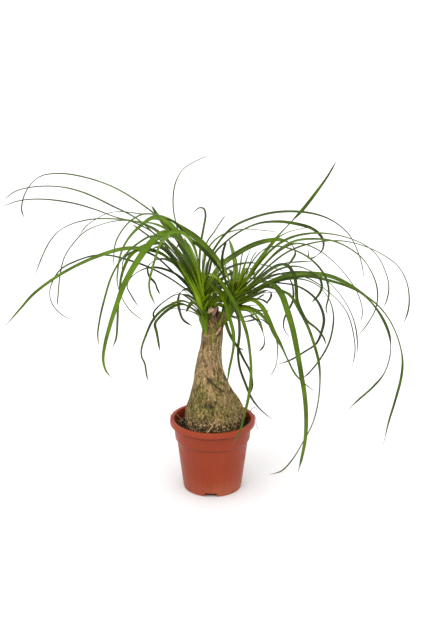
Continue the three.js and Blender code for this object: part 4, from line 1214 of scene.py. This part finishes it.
def lathe(outline, sides):
    """A closed body of revolution from a closed outline of (radius, height)."""
    radii, heights = np.array(outline, float).T
    points = ring_points(np.outer(heights, (0, 0, 1)), *LEVEL, radii[:, None], sides)
    count = len(outline)
    starts = [(ring * sides, (ring + 1) % count * sides) for ring in range(count)]
    return points, [face for start, end in starts for face in band(start, end, sides)]


def arc(centre, radius, start, end, steps):
    """Points on an arc, from start to end in degrees."""
    angles = np.radians(np.linspace(start, end, steps))
    return [(centre[0] + radius * math.cos(a), centre[1] + radius * math.sin(a)) for a in angles]


def pot_outline():
    """The pot's wall as a closed outline: up the outside, round the hanging lip and down the inside.

    Its corners are eased by a millimetre or less.
    """
    wall_top = COLLAR_FOOT - STEP_HEIGHT
    collar_foot_radius = COLLAR_RADIUS - COLLAR_TAPER
    wall_top_radius = collar_foot_radius - STEP_DEPTH
    mouth = COLLAR_RADIUS + MOUTH_STEP
    outside = [(0, 0), (FLOOR_RING, 0)]
    outside += arc((FOOT_RADIUS - FOOT_ROUND, FOOT_ROUND), FOOT_ROUND, -90, 0, 6)
    outside += [(wall_top_radius, wall_top - 0.8), (wall_top_radius + 0.25, wall_top)]
    outside += [(collar_foot_radius - 0.9, COLLAR_FOOT - 0.2), (collar_foot_radius, COLLAR_FOOT + 0.6)]
    outside += [(COLLAR_RADIUS + 0.4, LIP_HOLLOW_TOP - 0.6), (COLLAR_RADIUS + 1, LIP_HOLLOW_TOP)]
    skirt = RIM_RADIUS - LIP_THICKNESS
    outside += [(skirt - 0.5, LIP_HOLLOW_TOP), (skirt, LIP_HOLLOW_TOP - 0.5), (skirt, LIP_FOOT + 0.4)]
    outside += arc((RIM_RADIUS - SKIRT_ROUND, LIP_FOOT + SKIRT_ROUND), SKIRT_ROUND, -90, 0, 4)
    outside += arc((RIM_RADIUS - LIP_ROUND, POT_HEIGHT - LIP_ROUND), LIP_ROUND, 0, 90, 9)
    inside = arc((mouth, POT_HEIGHT - MOUTH_ROUND), MOUTH_ROUND, 90, 180, 6)
    inside += [(COLLAR_RADIUS - WALL, LIP_FOOT), (collar_foot_radius - WALL, COLLAR_FOOT)]
    inside += [(wall_top_radius - WALL, wall_top), (FOOT_RADIUS - WALL, FLOOR), (0, FLOOR)]
    return outside + inside


def make_pot(material):
    """The turned wall, with its drain notches and floor holes cut away and its edges rounded."""
    mesh = new_mesh("pot", *lathe(pot_outline(), POT_SIDES))
    shape = bmesh.new()
    shape.from_mesh(mesh)
    bmesh.ops.remove_doubles(shape, verts=shape.verts, dist=1e-6)  # each ring on the axis becomes a point
    shape.to_mesh(mesh)
    shape.free()
    notches = [360 * i / DRAIN_NOTCHES + FIRST_NOTCH for i in range(DRAIN_NOTCHES)]
    holes = [360 * (i + 0.5) / FLOOR_HOLES for i in range(FLOOR_HOLES)]
    cutters = [notch_cutter(math.radians(turn)) for turn in notches]
    cutters += [hole_cutter(math.radians(turn)) for turn in holes]
    piece = add_piece("Pot_Wall", cut_away(mesh, cutters), material, node="Pot")
    piece.modifiers.new("shading", "WEIGHTED_NORMAL")


def cut_away(mesh, cutters):
    """The mesh less its cutters, with small rounds on its sharp edges."""
    group = bpy.data.collections.new("cutters")
    for cutter in cutters:
        group.objects.link(cutter)
    bpy.context.scene.collection.children.link(group)
    less = {"operation": "DIFFERENCE", "operand_type": "COLLECTION", "collection": group, "solver": "EXACT"}
    rounds = {"width": CUT_EDGE_ROUND * MM, "segments": 2}
    sharp = {"limit_method": "ANGLE", "angle_limit": math.radians(40)}
    result = evaluated(mesh, ("BOOLEAN", less), ("BEVEL", {**rounds, **sharp}))
    for cutter in cutters:
        bpy.data.objects.remove(cutter)
    bpy.data.collections.remove(group)
    return result


def notch_cutter(turn):
    """A rounded block under the foot of the wall, at an angle round the pot."""
    right, top = NOTCH_WIDTH / 2, NOTCH_HEIGHT - NOTCH_ROUND
    outline = [(-right, CUTTER_FOOT), *arc((-right + NOTCH_ROUND, top), NOTCH_ROUND, 180, 90, 5)]
    outline += [*arc((right - NOTCH_ROUND, top), NOTCH_ROUND, 90, 0, 5), (right, CUTTER_FOOT)]
    ends = (-FOOT_RADIUS - NOTCH_DEPTH, -FOOT_RADIUS + NOTCH_DEPTH)
    points = [(x, end, z) for end in ends for x, z in outline]
    return cutter_object("notch", np.array(points), len(outline), turn)


def hole_cutter(turn):
    """A round rod through the floor, at an angle round the pot."""
    centres = np.array([(0, -FLOOR_HOLE_CIRCLE, height) for height in (CUTTER_FOOT, 2 * FLOOR)], float)
    radii = np.full((2, 1), FLOOR_HOLE_RADIUS)
    return cutter_object("hole", ring_points(centres, *LEVEL, radii, HOLE_SIDES), HOLE_SIDES, turn)


def cutter_object(name, points, sides, turn):
    """A prism from the points of its two ends, turned about the pot's axis."""
    cutter = bpy.data.objects.new(name, new_mesh(name, points, tube_faces(2, sides)))
    cutter.rotation_euler.z = turn
    bpy.context.view_layer.update()
    return cutter


# ---------------------------------------------------------------- soil


def soil_height(x, y):
    """How high the soil's gentle waves are at a place."""
    return SOIL_LEVEL + sum(h * math.sin(x * a + y * b + phase) for h, a, b, phase in SOIL_WAVES)


def soil_bed():
    """The soil that fills the pot, with its uneven surface round the trunk."""
    hollow = SOIL_LEVEL - SOIL_HOLLOW
    outline = SOIL_BODY + [(radius, SOIL_LEVEL) for radius in np.linspace(SOIL_EDGE, SOIL_INSIDE, SOIL_RINGS)]
    points, faces = lathe(outline + [(SOIL_INSIDE, hollow), (1, hollow)], SOIL_SIDES)
    for point in points:
        if point[2] > hollow:
            lumps = sum(size * noise.noise(Vector(point * scale)) for size, scale in SOIL_LUMPS)
            inward = smooth_step(SOIL_EDGE, SOIL_EDGE - LOW_EDGE, math.hypot(point[0], point[1]))
            point[2] = soil_height(point[0], point[1]) + lumps * between(LOW_LUMPS, 1, inward)
    middle, spread, cells = SOIL_SHADES
    tags = np.zeros((len(points), 4))
    tags[:, 0] = [middle + spread * noise.noise(Vector(point * cells)) for point in points]
    return points, faces, tags


def crumb(ball, place, size, chance, shade):
    """A small lump, closed and uneven."""
    lump, faces = ball
    shape = np.array([chance.uniform(*CRUMB_STRETCHES) for _ in range(3)]) * size
    bulges = np.array([chance.uniform(-1, 1) for _ in lump])[:, None]
    turned = lump * (1 + CRUMB_UNEVENNESS * bulges) * shape
    angle = chance.uniform(0, 2 * math.pi)
    cosine, sine = math.cos(angle), math.sin(angle)
    spin = np.array(((cosine, -sine, 0), (sine, cosine, 0), (0, 0, 1)))
    return turned.dot(spin.T) + place, faces, (shade, 0, 0, 0)


def ico_shape():
    """A twelve-cornered ball, as the start of each crumb."""
    golden = (1 + 5**0.5) / 2
    corners = [(0, a, b * golden) for a in (-1, 1) for b in (-1, 1)]
    corners = [turned for x, y, z in corners for turned in ((x, y, z), (z, x, y), (y, z, x))]
    points = unit(np.array(corners, float))
    edge = min(np.linalg.norm(points[0] - other) for other in points[1:]) * 1.01  # a little over one edge
    faces = []
    for a in range(12):
        for b in range(a + 1, 12):
            for c in range(b + 1, 12):
                trio = points[[a, b, c]]
                if max(np.linalg.norm(trio - np.roll(trio, 1, axis=0), axis=1)) < edge:
                    outward = np.cross(trio[1] - trio[0], trio[2] - trio[0]).dot(trio[0]) > 0
                    faces.append((a, b, c) if outward else (a, c, b))
    return points, faces


def make_soil(material):
    """The bed with loose crumbs on it."""
    chance = random.Random(SOIL_SEED)
    ball = ico_shape()
    parts = [soil_bed()]
    for _ in range(CRUMBS):
        angle = chance.uniform(0, 2 * math.pi)
        radius = math.sqrt(chance.uniform(*(reach**2 for reach in CRUMB_RING)))
        x, y = radius * math.cos(angle), radius * math.sin(angle)
        size = between(*CRUMB_SIZES, chance.random() ** FEW_LARGE)
        place = (x, y, soil_height(x, y) + chance.uniform(*CRUMB_LIFTS))
        parts.append(crumb(ball, place, size, chance, chance.random() ** FEW_PALE * PALEST_CRUMB))
    points, faces, tags = joined(parts)
    add_piece("Soil_Surface", new_mesh("soil", points, faces), material, tags, "Soil")


# ---------------------------------------------------------------- roots, fibres and dry scales


def strand(dark, radius, points):
    """A fine thread through points, thinner towards its end."""
    shares = np.linspace(0, 1, 4 * len(points))  # four rings for each point
    centres = catmull_rom(points, shares)
    tangents = unit(np.gradient(centres, axis=0))
    first = unit(np.cross(tangents, STRAND_SIDEWAYS))
    radii = radius * between(1, STRAND_END, shares)[:, None]
    return *round_tube(centres, first, np.cross(tangents, first), radii, STRAND_SIDES), dark


def dry_scale(dark, width, points):
    """A dried flake that stands on the bark, with rounded ends."""
    shares = np.linspace(0, 1, SCALE_STATIONS)
    centres = catmull_rom(points, shares)
    widths = width * np.sqrt(np.clip(4 * (shares + 0.03) * (1.03 - shares), 0.05, 1))
    outward = np.array((points[0][0], points[0][1], 0))
    across = np.cross(outward, (0, 0, 1))
    level = np.zeros(SCALE_STATIONS)
    body, faces, _ = strap(centres, across, level, widths, level + SCALE_FOLD, tone=0)
    return body, faces, dark


def make_fibres(material):
    """All fibres and dry scales as a piece."""
    parts = [strand(*fibre) for fibre in STRANDS]
    parts += [dry_scale(*scale) for scale in SCALES]
    points, faces, tags = joined(parts)
    add_piece("Dry_Fibres", new_mesh("fibres", points, faces), material, tags)


# ---------------------------------------------------------------- floor, light and camera


def make_floor():
    """A pale floor with no edge in view."""
    corners = np.array([(-1, -1, 0), (1, -1, 0), (1, 1, 0), (-1, 1, 0)]) * FLOOR_REACH
    mesh = new_mesh("floor", corners, [(0, 1, 2, 3)])
    shader = Shader("pale_floor", roughness=0.7, specular=0.1)
    shader.base = shader.mix(shader.noise(3, 2), (222, 222, 222), (226, 226, 226))
    mesh.materials.append(shader.finished())
    floor = bpy.data.objects.new("Floor", mesh)
    bpy.context.scene.collection.objects.link(floor)


def add_light(name, towards, strength):
    """A broad soft light from far off, in the direction towards it."""
    data = bpy.data.lights.new(name, "SUN")
    data.energy = strength
    data.angle = SUN_SIZE
    light = bpy.data.objects.new(name, data)
    light.rotation_euler = (-Vector(towards)).to_track_quat("-Z", "Y").to_euler()
    bpy.context.scene.collection.objects.link(light)


def light_studio():
    """White surroundings and the suns."""
    world = bpy.data.worlds.new("studio")
    world.use_nodes = True
    background = world.node_tree.nodes["Background"]
    background.inputs["Color"].default_value = (1, 1, 1, 1)
    background.inputs["Strength"].default_value = 1
    bpy.context.scene.world = world
    bpy.context.scene.view_settings.view_transform = "Standard"
    for name, (towards, strength) in SUNS.items():
        add_light(name, towards, strength)


def add_camera():
    """The photograph's view."""
    data = bpy.data.cameras.new("camera")
    data.lens = LENS
    data.sensor_width = SENSOR
    data.sensor_fit = "AUTO"
    camera = bpy.data.objects.new("camera", data)
    back = Vector((0, -math.cos(PITCH_DOWN), math.sin(PITCH_DOWN)))
    camera.location = (AIM + back * VIEW_DISTANCE) * MM
    camera.rotation_euler = (math.pi / 2 - PITCH_DOWN, 0, 0)
    bpy.context.scene.collection.objects.link(camera)
    bpy.context.scene.camera = camera


# ---------------------------------------------------------------- the scene

add_camera()
light_studio()
make_floor()
leaf_material = make_leaf_material()
make_crown("Left", LEFT_LEAVES, LEFT_CORE, LEFT_TWISTS, LEFT_BASES, leaf_material, LEFT_SEED)
make_crown("Right", RIGHT_LEAVES, RIGHT_CORE, RIGHT_TWISTS, RIGHT_BASES, leaf_material, RIGHT_SEED)
make_trunk(make_bark_material())
make_soil(make_soil_material())
make_fibres(make_dry_material())
make_pot(make_pot_material())
